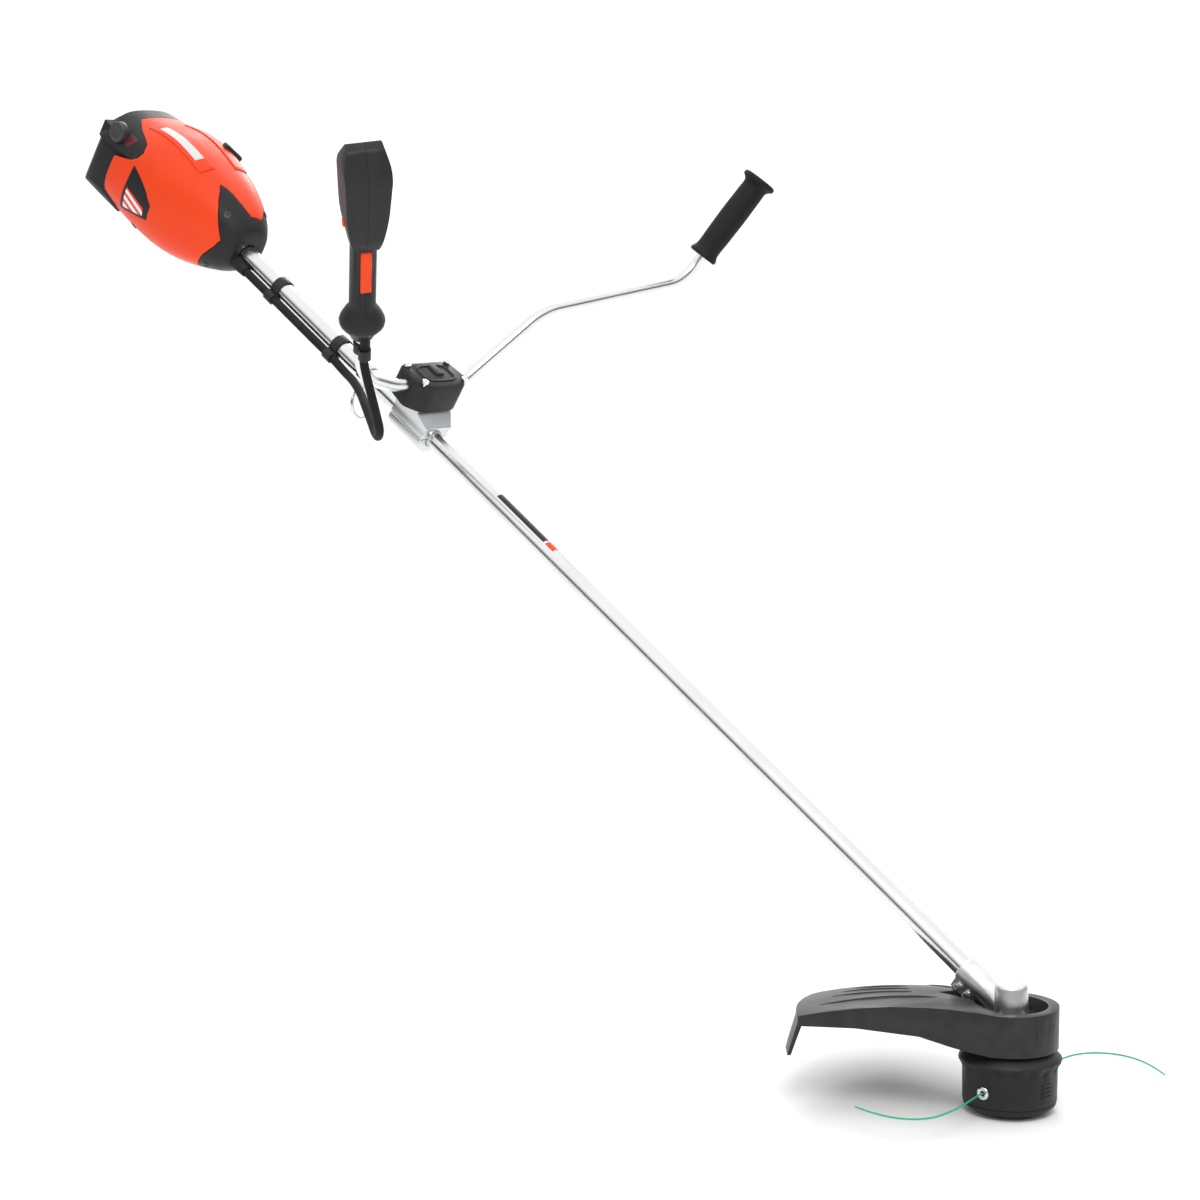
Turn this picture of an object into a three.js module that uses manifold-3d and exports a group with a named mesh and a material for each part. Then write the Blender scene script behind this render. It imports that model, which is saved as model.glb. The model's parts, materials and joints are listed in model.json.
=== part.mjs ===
// String trimmer with a U handlebar: battery powerhead, long shaft, angled gear case and a bump-feed head.
// Units are millimetres, +Z is up. The origin is the centre of the bump knob's lower face.
// +X points forwards, from the powerhead to the cutting head, and +Y to the machine's left.

import * as THREE from 'three';
import { mergeVertices } from 'three/addons/utils/BufferGeometryUtils.js';
import Module from 'manifold-3d';

const wasm = await Module();
wasm.setup();

// ---------------------------------------------------------------- driving dimensions

const GAP = 0.3;                   // clearance between pieces that fit together
const DEGREE = Math.PI / 180;

// The whole machine: the shaft's axis crosses the head's spin axis at gear height.
const GEAR_HEIGHT = 115;           // crossing point above the knob's lower face
const SHAFT_ANGLE = 33.5;          // shaft's rise from the horizontal
const TUBE_RADIUS = 12.7;
const TUBE_WALL = 1.6;
const TUBE_START = 46;             // distances along the shaft, from the crossing point
const TUBE_END = 1612;
const DRIVE_RADIUS = 3.5;
const BUSHING_LENGTH = 30;
const BUSHING_PLACES = { shaft_bushing_lower: 560, shaft_bushing_upper: 1080 };

// Gear case
const CASE_RADIUS = 20;
const CASE_TOP = 39;               // heights in the gear case are above the crossing point
const CASE_WALL = 3;
const COLLAR_RADIUS = TUBE_RADIUS + 3.3;
const COLLAR_END = 81;
const FLANGE_BOTTOM = -3.7;
const FLANGE_THICKNESS = 5;
const FLANGE_SCREWS = [[30, 0], [-8, 31], [-8, -31]];
const SCREW_RADIUS = 2.5;
const SCREW_HEAD_RADIUS = 4.5;
const SCREW_HEAD_HEIGHT = 3.5;
const PINION_BEARING_RADIUS = 12;
const PINION_BEARING_START = 31;
const PINION_SHAFT_RADIUS = 6;

// Bevel gears: both cones meet at the crossing point.
const GEAR_TEETH = 14;
const PINION_TEETH = 10;
const CONE_INNER = 18;             // cone distances of the teeth's two ends
const CONE_OUTER = 27;
const ADDENDUM = 0.9;
const DEDENDUM = 1.5;
const OUTPUT_RADIUS = 5;
const UPPER_BEARING_RADIUS = 11;
const UPPER_BEARING_BOTTOM = 28.5;
const LOWER_BEARING_RADIUS = 13;
const LOWER_BEARING_BOTTOM = -3.4;
const BEARING_HEIGHT = 7;

// Shield
const SHIELD_RADIUS = 267;         // outer edge of the skirt, about the spin axis
const SHIELD_FLARE = 12;           // how much further out the skirt's foot is than its top
const SHIELD_HUB_RADIUS = 57;
const SHIELD_RIGHT_ANGLE = 45;     // from the shaft's plane to each tip
const SHIELD_LEFT_ANGLE = 20;
const CUTTER_ANGLE = 180;          // the line cutter's place round the spin axis
const SHIELD_WALL = 3;
const SHIELD_PEAK = 20;            // highest point, above the crossing point
const SHIELD_DOME_RADIUS = 600;
const SHIELD_HUB_TOP = 12;         // the hub stands out of the dome on the left
const SHIELD_DOME_PLACE = [-70, -90];   // the dome's highest point lies behind the hub and to its right
const SHIELD_HUB_DEPTH = -38;
const SHIELD_SKIRT_DEPTH = -45;
const SHIELD_FLOOR_THICKNESS = 4;
const WELL_RADIUS = 44;            // well around the gear case flange
const NECK_SLOT_WIDTH = 48;
const NECK_SLOT_LENGTH = 88;

// Cutting head: heights above the knob's lower face
const HEAD_TOP = 74;
const RIM_HEIGHT = 63;
const RIM_RADIUS = 61.5;
const HEAD_RADIUS = 56;
const HEAD_WALL = 3;
const LID_HEIGHT = 12;             // height of the lid's upper edge
const LID_BOTTOM = 3;
const EYELET_HEIGHT = 31;
const EYELET_RADIUS = 8;
const EYELET_BORE = 3;
const SPOOL_RADIUS = 48;
const SPOOL_HUB_RADIUS = 24;
const SPOOL_BOTTOM = 15;
const SPOOL_TOP = 46;
const KNOB_RADIUS = 27;
const KNOB_TRAVEL = 6;
const LINE_DIAMETER = 2.4;

// Handlebar and its clamp
const CLAMP_PLACE = TUBE_END - 425;
const BAR_LIFT = 62;               // bar's axis above the shaft's axis at the clamp
const BAR_LEAN = 4;                // bar's plane leans back towards the powerhead
const BAR_RADIUS = 8.8;
const BAR_WALL = 1.5;
const GRIP_ANGLE = 24;             // both grips splay outwards from the bar's plane's upright
const CLAMP_HALF_WIDTH = 52;
const CLAMP_HALF_LENGTH = 31;
const CLAMP_COVER_BOTTOM = 33;
const CLAMP_COVER_TOP = 78;
const PASSIVE_GRIP_LENGTH = 140;
const PASSIVE_GRIP_RADIUS = 19;
const NEAR_BEND = [17, -141];      // last bend of the short arm: up, sideways
const FAR_BEND = [148, 449];       // last bend of the long arm
const THROTTLE_PLACE = 73;         // throttle's foot, from the short arm's last bend
const PASSIVE_PLACE = 44;          // passive grip's foot, from the long arm's last bend

// Throttle grip: heights along the grip from its foot
const THROTTLE_TWIST = 25;         // turned outwards about its own axis
const THROTTLE_RADIUS = 17.5;
const THROTTLE_FLANGE_RADIUS = 30.5;
const THROTTLE_BOX_START = 152;
const THROTTLE_TOP = 305;
const THROTTLE_WALL = 3;
const BAR_IN_THROTTLE = 60;
const TRIGGER_LOW = 86;
const TRIGGER_HIGH = 150;
const TRIGGER_WIDTH = 14;
const CABLE_RADIUS = 6;
const CABLE_IN_THROTTLE = BAR_RADIUS + CABLE_RADIUS + 1.2;      // cable's offset from the grip's axis
const CABLE_SIDE = [-TUBE_RADIUS - 0.8, -CABLE_RADIUS - 9];   // cable beside the shaft: up, sideways

// Fittings on the shaft
const CLIP_PLACES = { cable_clip_lower: TUBE_END - 254, cable_clip_upper: TUBE_END - 112 };
const CLIP_LENGTH = 15;
const CLIP_WALL = 2.6;
const HANGER_PLACE = TUBE_END - 318;
const HANGER_DROP = 27;            // ring's pivot below the shaft's axis
const RING_WIRE = 2.4;
const RING_WIDTH = 33;             // between wire centres
const RING_HEIGHT = 40;

// Powerhead: places along the shaft, heights above its axis
const NOSE_FRONT = TUBE_END - 25;
const NOSE_END = NOSE_FRONT + 53;
const COVER_END = NOSE_FRONT + 238;
const REAR_START = NOSE_FRONT + 189;
const REAR_END = REAR_START + 102;
const BODY_HALF_WIDTH = 82;
const BODY_TOP = 84;
const BODY_BOTTOM = -84;
const BODY_WALL = 3;
const BATTERY_START = REAR_START + 27;
const BATTERY_END = REAR_END + 13;
const BATTERY_HALF_WIDTH = 72;
const BATTERY_BOTTOM = -78;
const BATTERY_TOP = 36;
const REAR_SPLIT = 26;             // rear housing begins above this height
const RELEASE_PLACE = [42, REAR_START + 62];   // battery release button: up, along
const RELEASE_RADIUS = 15;
const MOTOR_RADIUS = 36;
const MOTOR_START = NOSE_FRONT + 85;
const MOTOR_LENGTH = 44;
const ROTOR_RADIUS = 20;
const ROTOR_SHAFT_RADIUS = 5;
const FAN_RADIUS = 40;

// ---------------------------------------------------------------- finishes

const finish = (color, roughness, metalness) => new THREE.MeshStandardMaterial({ color, roughness, metalness });
const orangePlastic = finish(0xff5028, 0.38, 0);
const blackPlastic = finish(0x2b2b2b, 0.5, 0);
const greyPlastic = finish(0x4c4c4c, 0.55, 0);
const rubber = finish(0x1c1c1c, 0.85, 0);
const aluminium = finish(0xd9dadb, 0.25, 1);
const castAluminium = finish(0xb4b5b7, 0.45, 1);
const steel = finish(0xc4c4c6, 0.3, 1);
const darkSteel = finish(0x4a4c50, 0.4, 1);
const copper = finish(0xb06a3a, 0.4, 1);
const nylonLine = finish(0x2fae74, 0.45, 0);
const circuitGreen = finish(0x1d5c3a, 0.6, 0);

// ---------------------------------------------------------------- solid making

// Signed volume tells whether a closed mesh faces outwards.
function signedVolume(positions, index) {
  let volume = 0;
  const a = new THREE.Vector3();
  const b = new THREE.Vector3();
  const c = new THREE.Vector3();
  for (let i = 0; i < index.length; i += 3) {
    a.fromBufferAttribute(positions, index[i]);
    b.fromBufferAttribute(positions, index[i + 1]);
    c.fromBufferAttribute(positions, index[i + 2]);
    volume += a.dot(b.cross(c)) / 6;
  }
  return volume;
}

// A closed three.js geometry as a solid for cutting and joining.
function solid(geometry) {
  const bare = geometry.clone();
  bare.deleteAttribute('normal');
  bare.deleteAttribute('uv');
  const merged = mergeVertices(bare, 1e-4);
  const corners = merged.index.array;
  const kept = [];
  for (let i = 0; i < corners.length; i += 3) {
    const [a, b, c] = [corners[i], corners[i + 1], corners[i + 2]];
    if (a !== b && b !== c && c !== a) kept.push(a, b, c);
  }
  const positions = merged.attributes.position;
  if (signedVolume(positions, kept) < 0) kept.reverse();
  return new wasm.Manifold(new wasm.Mesh({
    numProp: 3,
    vertProperties: new Float32Array(positions.array),
    triVerts: new Uint32Array(kept),
  }));
}

function geometryOf(body) {
  const mesh = body.getMesh();
  const geometry = new THREE.BufferGeometry();
  geometry.setAttribute('position', new THREE.BufferAttribute(new Float32Array(mesh.vertProperties), 3));
  geometry.setIndex(new THREE.BufferAttribute(new Uint32Array(mesh.triVerts), 1));
  geometry.computeVertexNormals();
  return geometry;
}

const join = (...bodies) => bodies.reduce((whole, body) => whole.add(body));
const cut = (body, ...tools) => tools.reduce((rest, tool) => rest.subtract(tool), body);
const common = (...bodies) => bodies.reduce((shared, body) => shared.intersect(body));

// A place is [x, y, z]; turns are given in degrees about X, Y and Z, made in that order.
function placed(geometry, place = [0, 0, 0], turn = [0, 0, 0]) {
  const [x, y, z] = turn.map((angle) => angle * DEGREE);
  return geometry.clone().rotateX(x).rotateY(y).rotateZ(z).translate(...place);
}

// Cylinder along Z between two heights.
function rod(radius, from, to, segments = 20, topRadius = radius) {
  const geometry = new THREE.CylinderGeometry(topRadius, radius, to - from, segments);
  return geometry.rotateX(Math.PI / 2).translate(0, 0, (from + to) / 2);
}

// Body of revolution about Z from a profile of [radius, height] points, closed on the axis or on itself.
function turned(profile, segments = 24) {
  const points = profile.map(([radius, height]) => new THREE.Vector2(radius, height));
  return new THREE.LatheGeometry(points, segments).rotateX(Math.PI / 2);
}

const ring = (outer, inner, from, to, segments = 24) =>
  turned([[inner, from], [outer, from], [outer, to], [inner, to], [inner, from]], segments);

function block(x, y, z) {
  const size = [x, y, z].map(([from, to]) => to - from);
  const middle = [x, y, z].map(([from, to]) => (from + to) / 2);
  return new THREE.BoxGeometry(...size).translate(...middle);
}

// Outline from corners [a, b, radius]; a corner with a radius is rounded.
function outline(corners) {
  const shape = new THREE.Shape();
  corners.forEach(([a, b, radius = 0], i) => {
    const corner = new THREE.Vector2(a, b);
    const before = new THREE.Vector2(...corners[(i + corners.length - 1) % corners.length]);
    const after = new THREE.Vector2(...corners[(i + 1) % corners.length]);
    const start = corner.clone().add(before.sub(corner).setLength(radius));
    const end = corner.clone().add(after.sub(corner).setLength(radius));
    if (i === 0) shape.moveTo(start.x, start.y);
    else shape.lineTo(start.x, start.y);
    if (radius > 0) shape.quadraticCurveTo(corner.x, corner.y, end.x, end.y);
  });
  shape.closePath();
  return shape;
}

// Outline drawn out along an axis. The outline's two directions are (x, y) for 'z', (z, x) for 'y', (y, z) for 'x'.
const SLAB_DIRECTIONS = {
  x: [new THREE.Vector3(0, 1, 0), new THREE.Vector3(0, 0, 1), new THREE.Vector3(1, 0, 0)],
  y: [new THREE.Vector3(0, 0, 1), new THREE.Vector3(1, 0, 0), new THREE.Vector3(0, 1, 0)],
  z: [new THREE.Vector3(1, 0, 0), new THREE.Vector3(0, 1, 0), new THREE.Vector3(0, 0, 1)],
};

function slab(shape, axis, from, to, { bevel = 0, curveSegments = 4 } = {}) {
  const geometry = new THREE.ExtrudeGeometry(shape, {
    depth: to - from - 2 * bevel,
    curveSegments,
    bevelEnabled: bevel > 0,
    bevelThickness: bevel,
    bevelSize: bevel,
    bevelOffset: -bevel,
    bevelSegments: 2,
  });
  geometry.translate(0, 0, from + bevel);
  return geometry.applyMatrix4(new THREE.Matrix4().makeBasis(...SLAB_DIRECTIONS[axis]));
}

// Plain polygon of a circle, so that its sides are known.
function circle(radius, sides, Kind = THREE.Shape) {
  const points = [];
  for (let i = 0; i < sides; i += 1) {
    const angle = (2 * Math.PI * i) / sides;
    points.push(new THREE.Vector2(radius * Math.cos(angle), radius * Math.sin(angle)));
  }
  return new Kind(points);
}

// Round section drawn along a curve; a wall makes it a pipe.
function pipe(curve, radius, { wall = 0, sides = 10, steps = 40 } = {}) {
  const section = circle(radius, sides);
  if (wall > 0) section.holes.push(circle(radius - wall, sides, THREE.Path));
  return new THREE.ExtrudeGeometry(section, { steps, extrudePath: curve, bevelEnabled: false });
}

// Straight runs between points with rounded corners; a point is a Vector3 and its corner length.
function bentPath(points) {
  const path = new THREE.CurvePath();
  let last = points[0][0];
  for (let i = 1; i < points.length - 1; i += 1) {
    const [corner, reach] = points[i];
    const start = corner.clone().add(points[i - 1][0].clone().sub(corner).setLength(reach));
    const end = corner.clone().add(points[i + 1][0].clone().sub(corner).setLength(reach));
    path.add(new THREE.LineCurve3(last, start));
    path.add(new THREE.QuadraticBezierCurve3(start, corner, end));
    last = end;
  }
  path.add(new THREE.LineCurve3(last, points[points.length - 1][0]));
  return path;
}

const trimmer = new THREE.Group();
const spin = new THREE.Group();          // at the crossing point, upright
const boom = new THREE.Group();          // x up from the shaft, y sideways, z along the shaft to the powerhead
const bar = new THREE.Group();           // x up in the bar's plane, y sideways, z out of that plane
const throttle = new THREE.Group();      // x to the trigger's side, z along the grip
trimmer.add(spin, boom);
boom.add(bar);
bar.add(throttle);
spin.position.set(0, 0, GEAR_HEIGHT);
boom.position.set(0, 0, GEAR_HEIGHT);
boom.rotation.y = (SHAFT_ANGLE - 90) * DEGREE;
bar.position.set(BAR_LIFT, 0, CLAMP_PLACE);
bar.rotation.y = -BAR_LEAN * DEGREE;

function add(group, name, body, material) {
  const geometry = body.isBufferGeometry ? geometryOf(solid(body)) : geometryOf(body);
  const mesh = new THREE.Mesh(geometry, material);
  mesh.name = name;
  group.add(mesh);
  return mesh;
}

// Turns a body made along the shaft's direction so that it lies right in the upright gear case frame.
const alongShaft = (geometry) => geometry.clone().rotateY((SHAFT_ANGLE - 90) * DEGREE);

// ---------------------------------------------------------------- shaft

add(boom, 'main_tube', ring(TUBE_RADIUS, TUBE_RADIUS - TUBE_WALL, TUBE_START, TUBE_END, 28), aluminium);
for (const [name, place] of Object.entries(BUSHING_PLACES)) {
  const bushing = ring(TUBE_RADIUS - TUBE_WALL - GAP, DRIVE_RADIUS + GAP, place, place + BUSHING_LENGTH, 18);
  add(boom, name, bushing, rubber);
}

// ---------------------------------------------------------------- gears

// Cone angles of the two gears, from their teeth and the angle between their axes.
const axesAngle = (90 - SHAFT_ANGLE) * DEGREE;
const gearCone = Math.atan2(Math.sin(axesAngle), PINION_TEETH / GEAR_TEETH + Math.cos(axesAngle));
const pinionCone = axesAngle - gearCone;

// Straight-toothed bevel gear about Z with its cone's tip at the origin.
// The outer outline is drawn out towards the tip and shrinks with the distance to it.
function bevelGear(teeth, cone, phase) {
  const pitchRadius = CONE_OUTER * Math.sin(cone);
  const pitchHeight = CONE_OUTER * Math.cos(cone);
  const innerShare = CONE_INNER / CONE_OUTER;
  const tip = pitchRadius + ADDENDUM;
  const root = pitchRadius - DEDENDUM;
  const points = [];
  for (let i = 0; i < teeth; i += 1) {
    const places = [[root, -0.34], [tip, -0.13], [tip, 0.13], [root, 0.34]];
    for (const [radius, share] of places) {
      const angle = ((i + phase + share) * 2 * Math.PI) / teeth;
      points.push(new THREE.Vector2(radius * Math.cos(angle), radius * Math.sin(angle)));
    }
  }
  const depth = pitchHeight * (1 - innerShare);
  const geometry = new THREE.ExtrudeGeometry(new THREE.Shape(points), { depth, bevelEnabled: false, steps: 1 });
  geometry.translate(0, 0, pitchHeight - depth);
  const position = geometry.attributes.position;
  for (let i = 0; i < position.count; i += 1) {
    const share = position.getZ(i) / pitchHeight;
    position.setXY(i, position.getX(i) * share, position.getY(i) * share);
  }
  return { body: solid(geometry), top: pitchHeight, bottom: pitchHeight - depth };
}

// The gear has a tooth towards the pinion, and the pinion a gap, so that they mesh at rest.
const gear = bevelGear(GEAR_TEETH, gearCone, GEAR_TEETH % 2 === 0 ? 0 : 0.5);
const gearHub = solid(rod(OUTPUT_RADIUS + 4, gear.bottom + 1, UPPER_BEARING_BOTTOM - GAP, 18));
const outputHole = solid(rod(OUTPUT_RADIUS + GAP, 0, CASE_TOP, 18));
add(spin, 'bevel_gear', cut(join(gear.body, gearHub), outputHole), darkSteel);

const pinion = bevelGear(PINION_TEETH, pinionCone, 0.5);
const pinionShaftEnd = PINION_BEARING_START + 16;
const pinionShaft = solid(rod(PINION_SHAFT_RADIUS, pinion.top - 1, pinionShaftEnd, 18));
const driveSocket = solid(rod(DRIVE_RADIUS + GAP, PINION_BEARING_START, pinionShaftEnd + 1, 14));
add(boom, 'pinion_gear', cut(join(pinion.body, pinionShaft), driveSocket), darkSteel);
const bearingEnd = TUBE_START - GAP;
const pinionBearing = ring(PINION_BEARING_RADIUS, PINION_SHAFT_RADIUS + GAP, PINION_BEARING_START, bearingEnd, 22);
add(boom, 'pinion_bearing', pinionBearing, steel);

const outputTop = UPPER_BEARING_BOTTOM + BEARING_HEIGHT;
const outputBottom = HEAD_TOP - 22 - GEAR_HEIGHT;
const output = turned([
  [0, outputBottom], [OUTPUT_RADIUS, outputBottom], [OUTPUT_RADIUS, HEAD_TOP - GEAR_HEIGHT + GAP],
  [17, HEAD_TOP - GEAR_HEIGHT + GAP], [17, HEAD_TOP - GEAR_HEIGHT + 7], [OUTPUT_RADIUS, HEAD_TOP - GEAR_HEIGHT + 12],
  [OUTPUT_RADIUS, outputTop], [0, outputTop],
], 20);
add(spin, 'output_shaft', output, steel);
const bearings = {
  output_bearing_upper: [UPPER_BEARING_RADIUS, UPPER_BEARING_BOTTOM],
  output_bearing_lower: [LOWER_BEARING_RADIUS, LOWER_BEARING_BOTTOM],
};
for (const [name, [radius, bottom]] of Object.entries(bearings)) {
  add(spin, name, ring(radius, OUTPUT_RADIUS + GAP, bottom, bottom + BEARING_HEIGHT - GAP, 22), steel);
}

// ---------------------------------------------------------------- gear case

const flangeTop = FLANGE_BOTTOM + FLANGE_THICKNESS;
const clampBoltPlaces = { case_clamp_bolt_front: 58, case_clamp_bolt_rear: 73 };
const clampEarDrop = COLLAR_RADIUS + 6;

function gearCase() {
  const dome = solid(turned([
    [0, FLANGE_BOTTOM], [CASE_RADIUS + 1.5, FLANGE_BOTTOM], [CASE_RADIUS + 1.5, flangeTop + 3],
    [CASE_RADIUS, flangeTop + 10], [CASE_RADIUS, CASE_TOP - 6], [CASE_RADIUS - 2, CASE_TOP - 2],
    [CASE_RADIUS - 6, CASE_TOP], [0, CASE_TOP],
  ], 24));
  const neck = solid(alongShaft(turned([
    [0, 6], [COLLAR_RADIUS - 1, 6], [COLLAR_RADIUS - 1, 46], [COLLAR_RADIUS, 51],
    [COLLAR_RADIUS, COLLAR_END - 1], [COLLAR_RADIUS - 1, COLLAR_END], [0, COLLAR_END],
  ], 24)));
  const ear = solid(alongShaft(block([-clampEarDrop - 4, -10], [-8, 8], [50, COLLAR_END])));
  const pads = FLANGE_SCREWS.map(([x, y]) => {
    const pad = solid(placed(rod(8, FLANGE_BOTTOM, flangeTop, 14), [x, y, 0]));
    const web = new THREE.BoxGeometry(Math.hypot(x, y), 14, FLANGE_THICKNESS);
    web.translate(Math.hypot(x, y) / 2, 0, FLANGE_BOTTOM + FLANGE_THICKNESS / 2).rotateZ(Math.atan2(y, x));
    return join(pad, solid(web));
  });
  const chamberRadius = CASE_RADIUS - CASE_WALL;
  const bores = [
    solid(rod(LOWER_BEARING_RADIUS + GAP, FLANGE_BOTTOM - 1, LOWER_BEARING_BOTTOM + BEARING_HEIGHT, 22)),
    solid(rod(chamberRadius, LOWER_BEARING_BOTTOM + BEARING_HEIGHT, UPPER_BEARING_BOTTOM - GAP, 24)),
    solid(rod(UPPER_BEARING_RADIUS + GAP, UPPER_BEARING_BOTTOM - 1, UPPER_BEARING_BOTTOM + BEARING_HEIGHT + GAP, 22)),
    solid(alongShaft(rod(PINION_BEARING_RADIUS + GAP, 14, TUBE_START, 22))),
    solid(alongShaft(rod(TUBE_RADIUS + GAP, TUBE_START - GAP, COLLAR_END + 1, 28))),
    solid(alongShaft(block([-clampEarDrop - 5, 0], [-1, 1], [48, COLLAR_END + 1]))),
    solid(block([-60, 60], [-60, 60], [FLANGE_BOTTOM - 30, FLANGE_BOTTOM])),
  ];
  for (const place of Object.values(clampBoltPlaces)) {
    const hole = rod(SCREW_RADIUS + GAP, -12, 12, 12).rotateX(Math.PI / 2).translate(-clampEarDrop, 0, place);
    bores.push(solid(alongShaft(hole)));
  }
  for (const [x, y] of FLANGE_SCREWS) {
    bores.push(solid(placed(rod(SCREW_RADIUS + GAP, FLANGE_BOTTOM - 1, flangeTop + 1, 12), [x, y, 0])));
  }
  return cut(join(dome, neck, ear, ...pads), ...bores);
}
add(spin, 'gear_case', gearCase(), castAluminium);

// Screw along Z: its head's underside is at height zero and its shank points down.
function screw(shankLength, headRadius = SCREW_HEAD_RADIUS, radius = SCREW_RADIUS) {
  return solid(turned([
    [0, -shankLength], [radius, -shankLength], [radius, 0], [headRadius, 0],
    [headRadius, SCREW_HEAD_HEIGHT], [headRadius * 0.5, SCREW_HEAD_HEIGHT],
    [headRadius * 0.5, SCREW_HEAD_HEIGHT - 2], [0, SCREW_HEAD_HEIGHT - 2],
  ], 12));
}

function placeScrew(group, name, body, place, turn = [0, 0, 0]) {
  const mesh = add(group, name, body, steel);
  mesh.position.set(...place);
  mesh.rotation.set(...turn.map((angle) => angle * DEGREE));
}

for (const [name, place] of Object.entries(clampBoltPlaces)) {
  placeScrew(boom, name, screw(15), [-clampEarDrop, -8 - GAP, place], [90, 0, 0]);
}

// ---------------------------------------------------------------- shield

const floorTop = FLANGE_BOTTOM - GAP;
const floorBottom = floorTop - SHIELD_FLOOR_THICKNESS;

// Plan of the shield: a round hub joined by straight flanks to a wide outer arc.
function shieldPlan(inset) {
  const shape = new THREE.Shape();
  const hub = SHIELD_HUB_RADIUS - inset;
  const outer = SHIELD_RADIUS - inset;
  const leftTip = (180 - SHIELD_LEFT_ANGLE) * DEGREE;
  const rightTip = (180 + SHIELD_RIGHT_ANGLE) * DEGREE;
  const tipInset = inset / outer;
  const tangent = Math.acos(SHIELD_HUB_RADIUS / SHIELD_RADIUS);
  shape.absarc(0, 0, hub, rightTip + tangent - 2 * Math.PI, leftTip - tangent, false);
  shape.absarc(0, 0, outer, leftTip + tipInset, rightTip - tipInset, false);
  shape.closePath();
  return shape;
}

// Solid under a dome of large radius, lowered by an amount.
function domeSolid(lowered, foot) {
  const top = SHIELD_PEAK - lowered;
  const reach = 330;
  const rings = 9;
  const profile = [[0, foot], [reach, foot]];
  for (let i = rings; i >= 0; i -= 1) {
    const radius = (reach * i) / rings;
    profile.push([radius, top - (radius * radius) / (2 * SHIELD_DOME_RADIUS)]);
  }
  return solid(placed(turned(profile, 48), [...SHIELD_DOME_PLACE, 0]));
}

function shield() {
  const plan = (inset) => solid(slab(shieldPlan(inset), 'z', -90, 60, { curveSegments: 12 }));
  const hubTop = (inset) => solid(rod(SHIELD_HUB_RADIUS - inset, -70, SHIELD_HUB_TOP - inset, 48));
  const outside = join(common(domeSolid(0, -80), plan(0)), hubTop(0));
  const inside = join(common(domeSolid(SHIELD_WALL, -85), plan(SHIELD_WALL)), hubTop(SHIELD_WALL));
  const skirtInside = SHIELD_RADIUS - SHIELD_WALL - 1;
  // The right flank's wall is shallow, and the left one reaches further down.
  const belowWalls = (nearHub, nearSkirt) => solid(turned([
    [0, -95], [0, SHIELD_HUB_DEPTH], [SHIELD_HUB_RADIUS + 1, SHIELD_HUB_DEPTH],
    [SHIELD_HUB_RADIUS + 63, nearHub], [SHIELD_RADIUS - 77, nearSkirt],
    [skirtInside - SHIELD_FLARE, nearSkirt], [skirtInside, SHIELD_SKIRT_DEPTH],
    [SHIELD_RADIUS + 20, SHIELD_SKIRT_DEPTH], [SHIELD_RADIUS + 20, -95], [0, -95],
  ], 40));
  const rightSide = solid(block([-SHIELD_RADIUS - 20, 100], [-SHIELD_RADIUS - 20, -60], [-100, 60]));
  const below = join(belowWalls(-30, -30), common(belowWalls(-16, -9), rightSide));
  const flare = solid(turned([
    [SHIELD_RADIUS - SHIELD_FLARE, 40], [SHIELD_RADIUS + 30, 40], [SHIELD_RADIUS + 30, -90],
    [SHIELD_RADIUS, -90], [SHIELD_RADIUS, SHIELD_SKIRT_DEPTH], [SHIELD_RADIUS - SHIELD_FLARE, -4],
    [SHIELD_RADIUS - SHIELD_FLARE, 40],
  ], 48));
  const skirtBand = solid(turned([
    [SHIELD_RADIUS - SHIELD_FLARE - SHIELD_WALL, 40], [SHIELD_RADIUS + 30, 40], [SHIELD_RADIUS + 30, -90],
    [SHIELD_RADIUS - SHIELD_WALL, -90], [SHIELD_RADIUS - SHIELD_WALL, SHIELD_SKIRT_DEPTH],
    [SHIELD_RADIUS - SHIELD_FLARE - SHIELD_WALL, -4], [SHIELD_RADIUS - SHIELD_FLARE - SHIELD_WALL, 40],
  ], 48));
  const wellWall = common(solid(wellOutline(SHIELD_WALL, floorBottom, 40)), outside);
  const shell = join(cut(outside, cut(inside, skirtBand)), wellWall);
  const well = solid(wellOutline(0, floorTop, 60));
  const centre = solid(rod(LOWER_BEARING_RADIUS + 4, floorBottom - 1, floorTop + 1, 22));
  const holes = FLANGE_SCREWS.map(([x, y]) =>
    solid(placed(rod(SCREW_RADIUS + GAP, floorBottom - 1, floorTop + 1, 12), [x, y, 0])));
  return cut(shell, flare, below, well, centre, ...holes);
}

// The well around the gear case flange, with a slot behind it for the neck.
function wellOutline(extra, from, to) {
  const half = NECK_SLOT_WIDTH / 2 + extra;
  const radius = WELL_RADIUS + extra;
  const start = Math.asin(half / radius);
  const shape = new THREE.Shape();
  shape.moveTo(-NECK_SLOT_LENGTH - extra, half);
  shape.lineTo(-NECK_SLOT_LENGTH - extra, -half);
  shape.absarc(0, 0, radius, Math.PI + start, 3 * Math.PI - start, false);
  shape.closePath();
  return slab(shape, 'z', from, to, { curveSegments: 20 });
}
add(spin, 'shield', shield(), blackPlastic);

FLANGE_SCREWS.forEach((place, i) => {
  placeScrew(spin, `shield_screw_${i + 1}`, screw(flangeTop + GAP - floorBottom), [...place, flangeTop + GAP]);
});

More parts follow.
